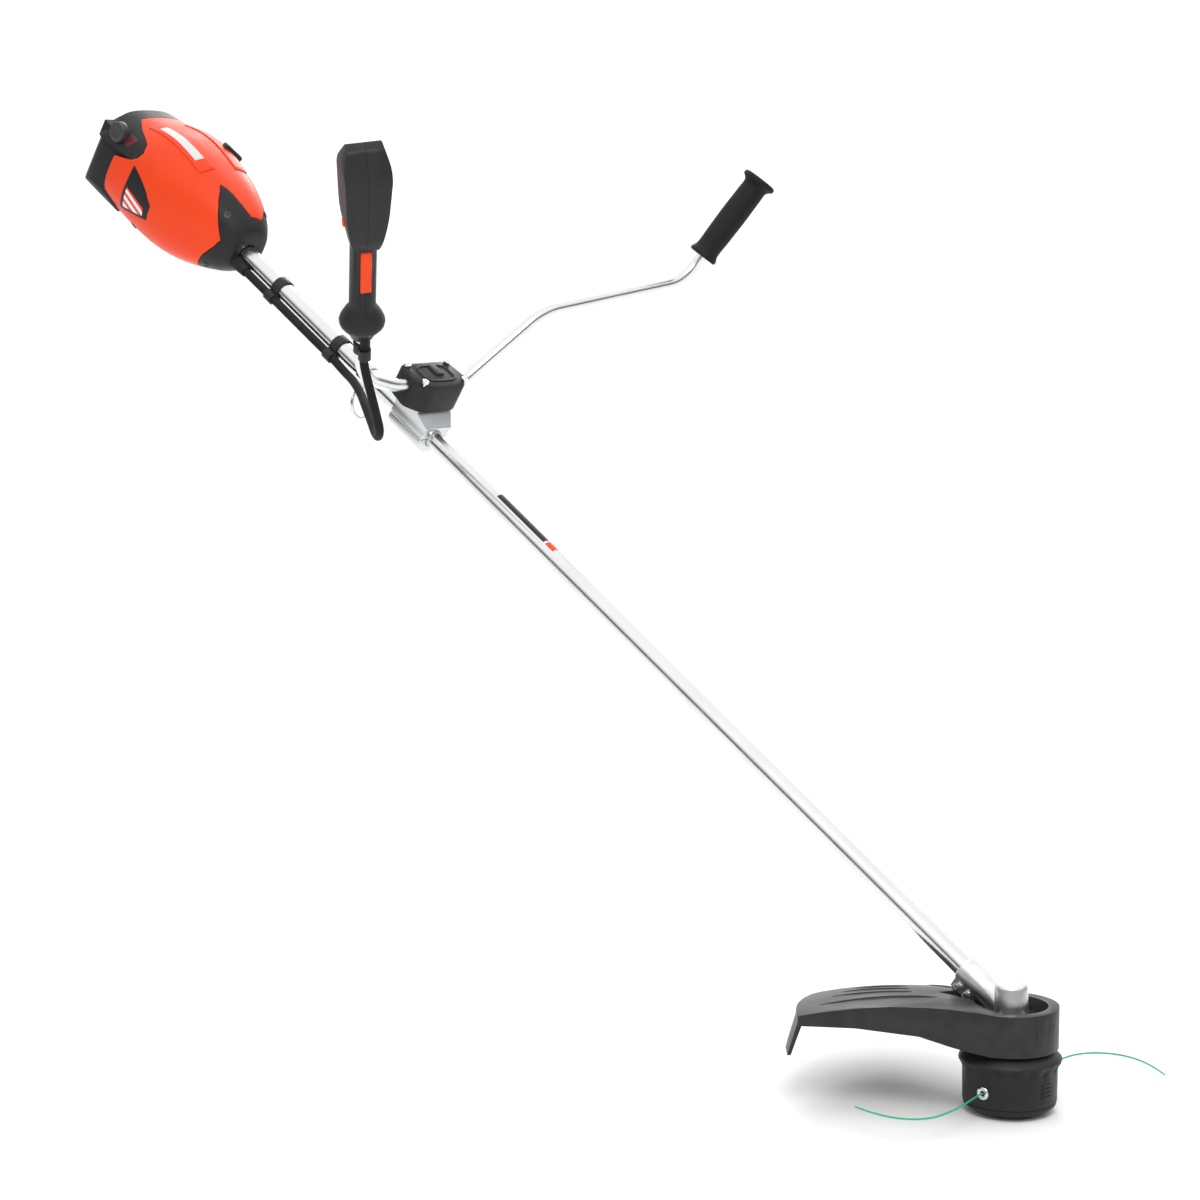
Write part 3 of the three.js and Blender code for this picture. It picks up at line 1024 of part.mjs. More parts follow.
const motorEnd = MOTOR_START + MOTOR_LENGTH;
add(boom, 'motor_stator', ring(MOTOR_RADIUS, ROTOR_RADIUS + 1, MOTOR_START, motorEnd, 24), copper);
const rotor = turned([
  [0, TUBE_END + 24], [ROTOR_SHAFT_RADIUS, TUBE_END + 24], [ROTOR_SHAFT_RADIUS, MOTOR_START - 2],
  [ROTOR_RADIUS, MOTOR_START - 2], [ROTOR_RADIUS, motorEnd + 2], [ROTOR_SHAFT_RADIUS, motorEnd + 2],
  [ROTOR_SHAFT_RADIUS, motorEnd + 18], [0, motorEnd + 18],
], 20);
add(boom, 'motor_rotor', rotor, darkSteel);
const motorFrame = turned([
  [ROTOR_SHAFT_RADIUS + GAP, motorEnd + 8], [MOTOR_RADIUS + 4, motorEnd + 8], [MOTOR_RADIUS + 4, MOTOR_START - 6],
  [MOTOR_RADIUS + GAP, MOTOR_START - 6], [MOTOR_RADIUS + GAP, motorEnd + 4], [ROTOR_SHAFT_RADIUS + GAP, motorEnd + 4],
  [ROTOR_SHAFT_RADIUS + GAP, motorEnd + 8],
], 24);
add(boom, 'motor_frame', motorFrame, castAluminium);

function coolingFan() {
  const place = MOTOR_START - 22;
  const disc = solid(ring(FAN_RADIUS, ROTOR_SHAFT_RADIUS + GAP, place, place + 2, 24));
  const hub = solid(ring(12, ROTOR_SHAFT_RADIUS + GAP, place, place + 10, 18));
  const blades = [];
  for (let i = 0; i < 8; i += 1) {
    blades.push(solid(block([11, FAN_RADIUS - 1], [-1, 1], [place + 1, place + 10]).rotateZ((i * Math.PI) / 4)));
  }
  return join(disc, hub, ...blades);
}
add(boom, 'cooling_fan', coolingFan(), blackPlastic);

const couplingStart = TUBE_END + 4;
const coupling = cut(
  solid(rod(10, couplingStart, couplingStart + 34, 18)),
  solid(rod(DRIVE_RADIUS + GAP, couplingStart - 1, couplingStart + 18, 14)),
  solid(rod(ROTOR_SHAFT_RADIUS + GAP, couplingStart + 20 - GAP, couplingStart + 40, 16)),
);
add(boom, 'drive_coupling', coupling, steel);
add(boom, 'drive_shaft', rod(DRIVE_RADIUS, PINION_BEARING_START + 1, couplingStart + 17, 14), steel);

const board = block([46, 49], [-38, 38], [MOTOR_START, MOTOR_START + 96]);
add(boom, 'controller_board', board, circuitGreen);

export default trimmer;
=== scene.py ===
# %% [markdown]
# # A string trimmer with a U handlebar
# The machine is a battery powerhead, a straight shaft, a handlebar with a throttle grip, and a cutting head under
# a shield. Its exact solids come ready as a fixed frame. This lesson gives every piece its finished shape and
# surface. We work in metres and in the frame's own axes: +Z up, +X towards the cutting head.

import json
import math

import bmesh
import bpy
from mathutils import Matrix, Vector


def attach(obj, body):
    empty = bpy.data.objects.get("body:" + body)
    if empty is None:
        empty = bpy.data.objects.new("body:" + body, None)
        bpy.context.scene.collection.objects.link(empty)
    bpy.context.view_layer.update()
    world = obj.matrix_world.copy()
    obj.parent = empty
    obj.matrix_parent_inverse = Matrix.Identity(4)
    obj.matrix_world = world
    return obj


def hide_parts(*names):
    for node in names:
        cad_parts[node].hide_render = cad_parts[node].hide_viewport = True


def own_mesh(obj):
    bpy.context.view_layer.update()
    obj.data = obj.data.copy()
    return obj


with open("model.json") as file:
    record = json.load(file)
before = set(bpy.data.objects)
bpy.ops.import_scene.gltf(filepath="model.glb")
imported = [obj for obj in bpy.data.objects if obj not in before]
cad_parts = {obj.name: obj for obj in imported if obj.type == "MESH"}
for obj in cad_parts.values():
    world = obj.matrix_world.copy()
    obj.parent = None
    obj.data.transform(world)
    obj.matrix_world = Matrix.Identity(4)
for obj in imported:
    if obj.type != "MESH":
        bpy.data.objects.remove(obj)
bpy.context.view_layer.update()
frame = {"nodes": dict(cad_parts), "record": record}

# %% [markdown]
# A few frames of reference save a lot of arithmetic. The shaft leans, so its pieces are easier to describe as
# "up from the shaft, sideways, along the shaft". The handlebar, the throttle grip and the passive grip each get
# one too. A matrix then puts a finished piece in its place. Lengths inside these frames are millimetres, as on a
# drawing.

# %% Frames of the shaft, the handlebar and the two grips
MILLIMETRE = 0.001
SHAFT_ANGLE = math.radians(33.5)
CROSSING_HEIGHT = 115
BAR_HEIGHT, CLAMP_PLACE, BAR_TILT = 62, 1187, -4
ARM_SPLAY = math.radians(24)
THROTTLE_REACH, PASSIVE_REACH, THROTTLE_TWIST = 73, 44, -25


def axes_matrix(x, y, z):
    return Matrix((x, y, z)).transposed().to_4x4()


def shift(x, y, z):
    return Matrix.Translation((x, y, z))


def turn(degrees, axis):
    return Matrix.Rotation(math.radians(degrees), 4, axis)


WORLD = Matrix.Scale(MILLIMETRE, 4)
SPIN = WORLD @ shift(0, 0, CROSSING_HEIGHT)
shaft_up = Vector((math.sin(SHAFT_ANGLE), 0, math.cos(SHAFT_ANGLE)))
shaft_along = Vector((-math.cos(SHAFT_ANGLE), 0, math.sin(SHAFT_ANGLE)))
SHAFT = SPIN @ axes_matrix(shaft_up, Vector((0, 1, 0)), shaft_along)
BAR = SHAFT @ shift(BAR_HEIGHT, 0, CLAMP_PLACE) @ turn(BAR_TILT, "Y")
near_arm = Vector((math.cos(ARM_SPLAY), -math.sin(ARM_SPLAY), 0))
far_arm = Vector((math.cos(ARM_SPLAY), math.sin(ARM_SPLAY), 0))
NEAR_BEND = Vector((17, -141, 0))
FAR_BEND = Vector((148, 449, 0))
throttle_foot = NEAR_BEND + near_arm * THROTTLE_REACH
passive_foot = FAR_BEND + far_arm * PASSIVE_REACH
forwards = Vector((0, 0, -1))
throttle_axes = axes_matrix(forwards, near_arm.cross(forwards), near_arm)
THROTTLE = BAR @ Matrix.Translation(throttle_foot) @ throttle_axes @ turn(THROTTLE_TWIST, "Z")
passive_turn = Vector((0, 0, 1)).rotation_difference(far_arm).to_matrix().to_4x4()
PASSIVE = BAR @ Matrix.Translation(passive_foot) @ passive_turn
print("throttle foot at", [round(v, 3) for v in THROTTLE.translation])

# %% [markdown]
# The camera comes first, because the trimmer lines have to stay in its view. It stands low, to the machine's right
# and in front, with a long lens, so the shaft keeps its true taper.

# %% Camera
camera_data = bpy.data.cameras.new("camera")
camera_data.lens = 90
camera_data.sensor_width = 36
camera_data.clip_end = 100
camera = bpy.data.objects.new("camera", camera_data)
CAMERA_PLACE = (1.9165, -2.9199, 1.0973)
camera_right = Vector((0.751, 0.660, 0.0))
camera_up = Vector((-0.0918, 0.1044, 0.990))
camera_back = camera_right.cross(camera_up).normalized()
camera.matrix_world = Matrix.Translation(CAMERA_PLACE) @ axes_matrix(
    camera_right.normalized(), camera_back.cross(camera_right).normalized(), camera_back
)
bpy.context.collection.objects.link(camera)
bpy.context.scene.camera = camera

# %% [markdown]
# ## Helpers for nodes
# Materials and Geometry Nodes trees are both graphs. One helper adds a node, sets its values and wires its inputs,
# so each tree below reads as a short list of steps.


# %% Helpers that add nodes to a tree
def add_node(tree, kind, inputs=None, **settings):
    node = tree.nodes.new(kind)
    for name, value in settings.items():
        setattr(node, name, value)
    for name, value in (inputs or {}).items():
        if isinstance(value, bpy.types.NodeSocket):
            tree.links.new(value, node.inputs[name])
        else:
            node.inputs[name].default_value = value
    return node


def new_group(name, kind, inputs, outputs):
    tree = bpy.data.node_groups.new(name, kind)
    for label, socket, value in inputs:
        made = tree.interface.new_socket(label, in_out="INPUT", socket_type=socket)
        if value is not None:
            made.default_value = value
    for label, socket in outputs:
        tree.interface.new_socket(label, in_out="OUTPUT", socket_type=socket)
    entry = tree.nodes.new("NodeGroupInput").outputs
    leave = tree.nodes.new("NodeGroupOutput").inputs
    return tree, entry, leave


# %% [markdown]
# ## Effects shared by the materials
# Moulded plastic, castings and rubber all have a fine grain, a little dust and rubbed edges. Each effect is one
# shader group with its own sizes, so every material can ask for its own amount. Grain is a bump, dust and wear are
# masks. All of them read object coordinates, so they stay in place when a part moves.

# %% Shader group: fine surface grain
FLOAT = "NodeSocketFloat"
grain, entry, leave = new_group(
    "surface_grain", "ShaderNodeTree", [("Scale", FLOAT, 900.0), ("Depth", FLOAT, 0.1)],
    [("Normal", "NodeSocketVector")],
)
place = add_node(grain, "ShaderNodeTexCoord").outputs["Object"]
fine = add_node(grain, "ShaderNodeTexNoise", {"Vector": place, "Scale": entry["Scale"], "Detail": 3.0})
bump = add_node(
    grain, "ShaderNodeBump", {"Height": fine.outputs["Fac"], "Strength": entry["Depth"], "Distance": 0.0004}
)
grain.links.new(bump.outputs["Normal"], leave["Normal"])

# %% Shader group: rubbed edges
wear, entry, leave = new_group("rubbed_edges", "ShaderNodeTree", [("Amount", FLOAT, 0.5)], [("Mask", FLOAT)])
sharpness = add_node(wear, "ShaderNodeNewGeometry").outputs["Pointiness"]
edge = add_node(
    wear, "ShaderNodeMapRange", {"Value": sharpness, "From Min": 0.52, "From Max": 0.62, "To Max": 1.0}
)
place = add_node(wear, "ShaderNodeTexCoord").outputs["Object"]
patches = add_node(wear, "ShaderNodeTexNoise", {"Vector": place, "Scale": 60.0, "Detail": 4.0})
broken = add_node(wear, "ShaderNodeMath", {0: edge.outputs[0], 1: patches.outputs["Fac"]}, operation="MULTIPLY")
scaled = add_node(wear, "ShaderNodeMath", {0: broken.outputs[0], 1: entry["Amount"]}, operation="MULTIPLY")
wear.links.new(scaled.outputs[0], leave["Mask"])

# %% Shader group: settled dust
dust, entry, leave = new_group("settled_dust", "ShaderNodeTree", [("Amount", FLOAT, 0.3)], [("Mask", FLOAT)])
place = add_node(dust, "ShaderNodeTexCoord").outputs["Object"]
cloud = add_node(dust, "ShaderNodeTexNoise", {"Vector": place, "Scale": 14.0, "Detail": 8.0, "Roughness": 0.65})
speck = add_node(dust, "ShaderNodeTexNoise", {"Vector": place, "Scale": 420.0, "Detail": 2.0})
facing = add_node(dust, "ShaderNodeSeparateXYZ", {0: add_node(dust, "ShaderNodeNewGeometry").outputs["Normal"]})
upward = add_node(dust, "ShaderNodeMapRange", {"Value": facing.outputs["Z"], "From Min": -0.2, "From Max": 1.0})
mixed = add_node(dust, "ShaderNodeMath", {0: cloud.outputs["Fac"], 1: speck.outputs["Fac"]}, operation="MULTIPLY")
mixed = add_node(dust, "ShaderNodeMath", {0: mixed.outputs[0], 1: upward.outputs[0]}, operation="MULTIPLY")
mixed = add_node(dust, "ShaderNodeMath", {0: mixed.outputs[0], 1: entry["Amount"]}, operation="MULTIPLY")
dust.links.new(mixed.outputs[0], leave["Mask"])

# %% [markdown]
# ## The finishes
# Most finishes follow one recipe: a base colour with a slow drift in tone, dust on top, paler rubbed edges, and a
# roughness that varies a little. `make_finish` builds that recipe. Plain numbers, such as metalness and coat, are
# set on the shader itself.


# %% Recipe for a finish
def share_group(tree, group, inputs):
    node = add_node(tree, "ShaderNodeGroup", node_tree=group)
    for name, value in inputs.items():
        node.inputs[name].default_value = value
    return node


def mix_colour(tree, mask, first, second):
    node = add_node(tree, "ShaderNodeMix", data_type="RGBA")
    for index, value in ((0, mask), (6, first), (7, second)):
        if isinstance(value, bpy.types.NodeSocket):
            tree.links.new(value, node.inputs[index])
        else:
            node.inputs[index].default_value = value
    return node.outputs[2]


DUST_COLOUR = (0.55, 0.53, 0.5, 1)
ROUGHNESS_SPREAD = 0.08


def make_finish(name, colour, roughness, metallic=0.0, coat=0.0, grain_scale=900, grain_depth=0.1, rubbed=0.4,
                dusty=0.3, specular=0.5):
    material = bpy.data.materials.new(name)
    material.use_nodes = True
    tree = material.node_tree
    shader = tree.nodes["Principled BSDF"]
    shader.inputs["Metallic"].default_value = metallic
    shader.inputs["Coat Weight"].default_value = coat
    shader.inputs["Coat Roughness"].default_value = 0.12
    shader.inputs["Specular IOR Level"].default_value = specular
    base = (*colour, 1)
    shade = (*[v * 0.82 for v in colour], 1)
    pale = (*[min(1, v * 1.6 + 0.05) for v in colour], 1)
    place = add_node(tree, "ShaderNodeTexCoord").outputs["Object"]
    drift = add_node(tree, "ShaderNodeTexNoise", {"Vector": place, "Scale": 9.0, "Detail": 3.0})
    tone = mix_colour(tree, drift.outputs["Fac"], base, shade)
    tone = mix_colour(tree, share_group(tree, wear, {"Amount": rubbed}).outputs["Mask"], tone, pale)
    dust_mask = share_group(tree, dust, {"Amount": dusty}).outputs["Mask"]
    tree.links.new(mix_colour(tree, dust_mask, tone, DUST_COLOUR), shader.inputs["Base Color"])
    surface = share_group(tree, grain, {"Scale": grain_scale, "Depth": grain_depth})
    tree.links.new(surface.outputs["Normal"], shader.inputs["Normal"])
    rough = add_node(tree, "ShaderNodeMapRange", {
        "Value": drift.outputs["Fac"], "From Min": 0.3, "From Max": 0.7,
        "To Min": max(0.02, roughness - ROUGHNESS_SPREAD), "To Max": min(1, roughness + ROUGHNESS_SPREAD)})
    tree.links.new(rough.outputs[0], shader.inputs["Roughness"])
    return material


# %% The plain finishes
ORANGE = (0.87, 0.062, 0.012)
orange_shell = make_finish("orange_shell", ORANGE, 0.42, grain_scale=1400, grain_depth=0.04, rubbed=0.06,
                           dusty=0.03, specular=0.2)
black_shell = make_finish("black_shell", (0.017, 0.017, 0.018), 0.47, grain_scale=1500, grain_depth=0.22, dusty=0.06,
                          specular=0.22)
satin_black = make_finish("satin_black", (0.014, 0.014, 0.015), 0.38, grain_scale=1200, grain_depth=0.12, dusty=0.05,
                          specular=0.22)
grey_shell = make_finish("grey_shell", (0.035, 0.035, 0.036), 0.45, grain_scale=1300, grain_depth=0.15, dusty=0.12)
soft_rubber = make_finish("soft_rubber", (0.009, 0.009, 0.009), 0.7, grain_scale=700, grain_depth=0.3, dusty=0.1,
                          specular=0.2)
cast_metal = make_finish("cast_metal", (0.66, 0.67, 0.68), 0.36, metallic=1.0, grain_scale=420, grain_depth=0.35,
                         rubbed=0.8, dusty=0.08)
plated_steel = make_finish("plated_steel", (0.78, 0.78, 0.79), 0.2, metallic=1.0, grain_scale=900, grain_depth=0.05,
                           rubbed=0.3, dusty=0.04)
ground_steel = make_finish("ground_steel", (0.3, 0.31, 0.33), 0.35, metallic=1.0, grain_scale=1800, grain_depth=0.2)
blackened_steel = make_finish("blackened_steel", (0.045, 0.045, 0.048), 0.4, metallic=1.0, grain_scale=900,
                              grain_depth=0.1, dusty=0.05)
copper_wire = make_finish("copper_wire", (0.72, 0.33, 0.14), 0.32, metallic=1.0, grain_scale=500, grain_depth=0.5)
green_nylon = make_finish("green_nylon", (0.035, 0.42, 0.2), 0.35, grain_scale=2500, grain_depth=0.1, dusty=0.02)
circuit_board = make_finish("circuit_board", (0.02, 0.14, 0.06), 0.4, coat=0.5, grain_scale=300, grain_depth=0.5)
dark_red = make_finish("dark_red", (0.12, 0.01, 0.015), 0.4, grain_scale=1200, grain_depth=0.1, dusty=0.05)
print("finishes:", len(bpy.data.materials))

# %% [markdown]
# Drawn tube has fine lines along its length from the die. The tubes carry a UV map whose V runs along them, so a
# noise squeezed round the tube and stretched along it gives those lines. The same value moves the roughness.


# %% Drawn aluminium for the tubes
def make_drawn_metal(name, colour, roughness):
    material = make_finish(name, colour, roughness, metallic=1.0, grain_scale=700, grain_depth=0.03, rubbed=0.2,
                           dusty=0.03)
    tree = material.node_tree
    shader = tree.nodes["Principled BSDF"]
    sweep = add_node(tree, "ShaderNodeAttribute", attribute_name="sweep")
    stretched = add_node(tree, "ShaderNodeMapping", {"Vector": sweep.outputs["Vector"], "Scale": (160.0, 3.0, 1.0)})
    lines = add_node(tree, "ShaderNodeTexNoise", {"Vector": stretched.outputs[0], "Scale": 1.0, "Detail": 5.0})
    rough = add_node(tree, "ShaderNodeMapRange", {
        "Value": lines.outputs["Fac"], "From Min": 0.25, "From Max": 0.75,
        "To Min": roughness - 0.07, "To Max": roughness + 0.1})
    tree.links.new(rough.outputs[0], shader.inputs["Roughness"])
    bump = add_node(tree, "ShaderNodeBump", {"Height": lines.outputs["Fac"], "Strength": 0.12, "Distance": 0.0002})
    tree.links.new(bump.outputs["Normal"], shader.inputs["Normal"])
    return material


drawn_aluminium = make_drawn_metal("drawn_aluminium", (0.8, 0.81, 0.82), 0.2)

# %% [markdown]
# ## Turning geometry into pieces
# Every piece ends the same way: its mesh is put in place in the row's frame, gets its material, smooth shading with
# crisp creases, and rides on a body of the frame. A piece may stand for one or more CAD nodes. `keep_piece` does
# this once for all of them.


# %% Helpers that finish a piece
def mesh_from(verts, faces):
    mesh = bpy.data.meshes.new("made")
    mesh.from_pydata([tuple(v) for v in verts], [], [tuple(f) for f in faces])
    return mesh


def baked(mesh, *modifiers):
    """The mesh after modifiers, each given as (type, settings)."""
    holder = bpy.data.objects.new("holder", mesh)
    bpy.context.collection.objects.link(holder)
    for kind, settings in modifiers:
        modifier = holder.modifiers.new(kind.lower(), kind)
        for name, value in settings.items():
            setattr(modifier, name, value)
    result = bpy.data.meshes.new_from_object(holder.evaluated_get(bpy.context.evaluated_depsgraph_get()))
    bpy.data.objects.remove(holder)
    return result


def bevel(width, segments=2, angle=35):
    return "BEVEL", {"width": width, "segments": segments, "limit_method": "ANGLE",
                     "angle_limit": math.radians(angle), "use_clamp_overlap": True}


def thicken(thickness):
    return "SOLIDIFY", {"thickness": thickness, "offset": -1.0, "use_even_offset": True}


def keep_piece(name, mesh, place, material, body, nodes=(), slot=None, crease=32):
    mesh.transform(place)
    mesh.materials.clear()
    mesh.materials.append(material)
    mesh.shade_smooth()
    mesh.set_sharp_from_angle(angle=math.radians(crease))
    mesh.name = name
    piece = bpy.data.objects.new(name, mesh)
    bpy.context.collection.objects.link(piece)
    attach(piece, body)
    if nodes:
        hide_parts(*nodes)
        slot = slot or NODE_SLOTS[nodes[0]]
    return piece


NODE_SLOTS = {part["node"]: part["material_slot"] for part in frame["record"]["subparts"]}


# %% [markdown]
# ## The trimmer lines
# Two lengths of stiff nylon line stand out of the head and curl back the way they were wound. A curve with a round
# bevel is all they need. Their routes are the exact ones of the frame.


# %% Trimmer lines
def smooth_route(points, count):
    """Points of a centripetal Catmull-Rom curve, evenly shared between the given points."""
    knots = [Vector(p) for p in points]
    knots = [2 * knots[0] - knots[1]] + knots + [2 * knots[-1] - knots[-2]]
    route = []
    spans = len(knots) - 3
    for step in range(count + 1):
        along = min(step / count * spans, spans - 1e-9)
        i = int(along)
        p = knots[i:i + 4]
        t = [0.0]
        for a, b in zip(p, p[1:]):
            t.append(t[-1] + max((b - a).length, 1e-9) ** 0.5)
        s = t[1] + (along - i) * (t[2] - t[1])
        a = [p[k] * ((t[k + 1] - s) / (t[k + 1] - t[k])) + p[k + 1] * ((s - t[k]) / (t[k + 1] - t[k]))
             for k in range(3)]
        b = [a[k] * ((t[k + 2] - s) / (t[k + 2] - t[k])) + a[k + 1] * ((s - t[k]) / (t[k + 2] - t[k]))
             for k in range(2)]
        route.append(b[0] * ((t[2] - s) / (t[2] - t[1])) + b[1] * ((s - t[1]) / (t[2] - t[1])))
    return route


LINE_DIAMETER = 0.0024
LINE_HEIGHT = 0.031
LINE_ROUTES = {
    "trimmer_line_right": [
        (0.0, -0.054), (0.0, -0.062), (0.002, -0.076), (0.005, -0.092), (0.008, -0.108), (0.010, -0.124),
        (0.011, -0.140), (0.011, -0.154), (0.009, -0.168), (0.003, -0.182), (-0.007, -0.192), (-0.020, -0.199),
        (-0.036, -0.202), (-0.052, -0.202), (-0.067, -0.200), (-0.082, -0.197)],
    "trimmer_line_left": [
        (0.0, 0.054), (0.0, 0.062), (-0.003, 0.078), (-0.005, 0.094), (-0.007, 0.110), (-0.007, 0.126),
        (-0.006, 0.142), (-0.002, 0.156), (0.006, 0.169), (0.018, 0.179), (0.033, 0.185), (0.050, 0.186),
        (0.068, 0.182), (0.086, 0.174), (0.104, 0.163), (0.121, 0.151)],
}
for name, route in LINE_ROUTES.items():
    points = smooth_route([(x, y, LINE_HEIGHT) for x, y in route], 60)
    curve = bpy.data.curves.new(name, "CURVE")
    curve.dimensions = "3D"
    curve.bevel_depth = LINE_DIAMETER / 2
    curve.bevel_resolution = 4
    curve.use_fill_caps = True
    spline = curve.splines.new("POLY")
    spline.points.add(len(points) - 1)
    for knot, point in zip(spline.points, points):
        knot.co = (*point, 1)
    curve.materials.append(green_nylon)
    line = bpy.data.objects.new(name + "_line", curve)
    bpy.context.collection.objects.link(line)
    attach(line, "head")
    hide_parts(name)

# %% [markdown]
# ## Geometry Nodes trees
# Four rules cover most of the machine: a round section drawn along a path, copies round a ring, copies in a row,
# and copies set on points. Each is a tree with named inputs. `grown` puts the tree on a mesh, sets the inputs by
# their identifiers, and keeps only the resulting plain mesh.

# %% Run a tree and keep its mesh
GEOMETRY = "NodeSocketGeometry"
MATERIAL = "NodeSocketMaterial"
INTEGER = "NodeSocketInt"


def grown(tree, mesh, **values):
    holder = bpy.data.objects.new("holder", mesh)
    bpy.context.collection.objects.link(holder)
    modifier = holder.modifiers.new("grow", "NODES")
    modifier.node_group = tree
    for item in tree.interface.items_tree:
        label = item.name.lower().replace(" ", "_")
        if item.in_out == "INPUT" and label in values:
            modifier[item.identifier] = values[label]
    result = bpy.data.meshes.new_from_object(holder.evaluated_get(bpy.context.evaluated_depsgraph_get()))
    bpy.data.objects.remove(holder)
    return result


def path_mesh(points, corners=None):
    """A chain of edges. The corner attribute holds each point's bend radius."""
    mesh = bpy.data.meshes.new("path")
    mesh.from_pydata([tuple(p) for p in points], [(i, i + 1) for i in range(len(points) - 1)], [])
    corner = mesh.attributes.new("corner", "FLOAT", "POINT")
    corner.data.foreach_set("value", corners or [0.0] * len(points))
    return mesh


def paint_and_end(tree, geometry, entry, leave):
    """The last steps of every tree: real copies with one material."""
    real = add_node(tree, "GeometryNodeRealizeInstances", {0: geometry})
    painted = add_node(tree, "GeometryNodeSetMaterial", {"Geometry": real.outputs[0], "Material": entry["Material"]})
    tree.links.new(painted.outputs[0], leave["Geometry"])


# %% Tree: a round section along a path
# The fillet rounds the corners, and the sweep attribute keeps the place round and along the section for materials.
round_path, entry, leave = new_group(
    "round_path", "GeometryNodeTree",
    [("Geometry", GEOMETRY, None), ("Radius", FLOAT, 5.0), ("Step", FLOAT, 4.0), ("Sides", INTEGER, 32),
     ("Material", MATERIAL, None)],
    [("Geometry", GEOMETRY)],
)
curve = add_node(round_path, "GeometryNodeMeshToCurve", {0: entry["Geometry"]})
corner = add_node(round_path, "GeometryNodeInputNamedAttribute", {"Name": "corner"}, data_type="FLOAT")
rounded = add_node(
    round_path, "GeometryNodeFilletCurve",
    {"Curve": curve.outputs[0], "Count": 12, "Radius": corner.outputs["Attribute"], "Limit Radius": True}, mode="POLY",
)
even = add_node(
    round_path, "GeometryNodeResampleCurve", {"Curve": rounded.outputs[0], "Length": entry["Step"]}, mode="LENGTH"
)
along = add_node(round_path, "GeometryNodeSplineParameter")
marked = add_node(
    round_path, "GeometryNodeStoreNamedAttribute",
    {"Geometry": even.outputs[0], "Name": "along", "Value": along.outputs["Length"]}, data_type="FLOAT", domain="POINT",
)
section = add_node(
    round_path, "GeometryNodeCurvePrimitiveCircle", {"Resolution": entry["Sides"], "Radius": entry["Radius"]}
)
around = add_node(
    round_path, "GeometryNodeStoreNamedAttribute",
    {"Geometry": section.outputs[0], "Name": "around", "Value": add_node(
        round_path, "GeometryNodeSplineParameter").outputs["Factor"]}, data_type="FLOAT", domain="POINT",
)
swept = add_node(
    round_path, "GeometryNodeCurveToMesh",
    {"Curve": marked.outputs[0], "Profile Curve": around.outputs[0], "Fill Caps": True},
)
both = add_node(round_path, "ShaderNodeCombineXYZ", {
    "X": add_node(round_path, "GeometryNodeInputNamedAttribute", {"Name": "around"}, data_type="FLOAT").outputs[0],
    "Y": add_node(round_path, "ShaderNodeMath", {
        0: add_node(round_path, "GeometryNodeInputNamedAttribute", {"Name": "along"}, data_type="FLOAT").outputs[0],
        1: 0.01}, operation="MULTIPLY").outputs[0]})
labelled = add_node(
    round_path, "GeometryNodeStoreNamedAttribute",
    {"Geometry": swept.outputs[0], "Name": "sweep", "Value": both.outputs[0]}, data_type="FLOAT_VECTOR", domain="POINT",
)
paint_and_end(round_path, labelled.outputs[0], entry, leave)

# %% Tree: copies round a ring
ring_copies, entry, leave = new_group(
    "ring_copies", "GeometryNodeTree",
    [("Geometry", GEOMETRY, None), ("Count", INTEGER, 12), ("Radius", FLOAT, 20.0), ("First Angle", FLOAT, 0.0),
     ("Span", FLOAT, 360.0), ("Material", MATERIAL, None)],
    [("Geometry", GEOMETRY)],
)
index = add_node(ring_copies, "GeometryNodeInputIndex").outputs[0]
share = add_node(ring_copies, "ShaderNodeMath", {0: index, 1: entry["Count"]}, operation="DIVIDE")
swing = add_node(
    ring_copies, "ShaderNodeMath", {0: share.outputs[0], 1: entry["Span"], 2: entry["First Angle"]},
    operation="MULTIPLY_ADD",
)
angle = add_node(ring_copies, "ShaderNodeMath", {0: swing.outputs[0]}, operation="RADIANS").outputs[0]
cosine = add_node(ring_copies, "ShaderNodeMath", {0: angle}, operation="COSINE").outputs[0]
sine = add_node(ring_copies, "ShaderNodeMath", {0: angle}, operation="SINE").outputs[0]
spot = add_node(ring_copies, "ShaderNodeCombineXYZ", {"X": cosine, "Y": sine}).outputs[0]
spot = add_node(ring_copies, "ShaderNodeVectorMath", {0: spot, "Scale": entry["Radius"]}, operation="SCALE").outputs[0]
spots = add_node(ring_copies, "GeometryNodeMeshLine", {"Count": entry["Count"]})
spots = add_node(ring_copies, "GeometryNodeSetPosition", {"Geometry": spots.outputs[0], "Position": spot})
facing = add_node(ring_copies, "ShaderNodeCombineXYZ", {"Z": angle})
copies = add_node(
    ring_copies, "GeometryNodeInstanceOnPoints",
    {"Points": spots.outputs[0], "Instance": entry["Geometry"], "Rotation": facing.outputs[0]},
)
paint_and_end(ring_copies, copies.outputs[0], entry, leave)

# %% Tree: copies in a row
row_copies, entry, leave = new_group(
    "row_copies", "GeometryNodeTree",
    [("Geometry", GEOMETRY, None), ("Count", INTEGER, 6), ("Step", "NodeSocketVector", (0.0, 0.0, 5.0)),
     ("Material", MATERIAL, None)],
    [("Geometry", GEOMETRY)],
)
spots = add_node(row_copies, "GeometryNodeMeshLine", {"Count": entry["Count"], "Offset": entry["Step"]})
copies = add_node(
    row_copies, "GeometryNodeInstanceOnPoints", {"Points": spots.outputs[0], "Instance": entry["Geometry"]}
)
paint_and_end(row_copies, copies.outputs[0], entry, leave)

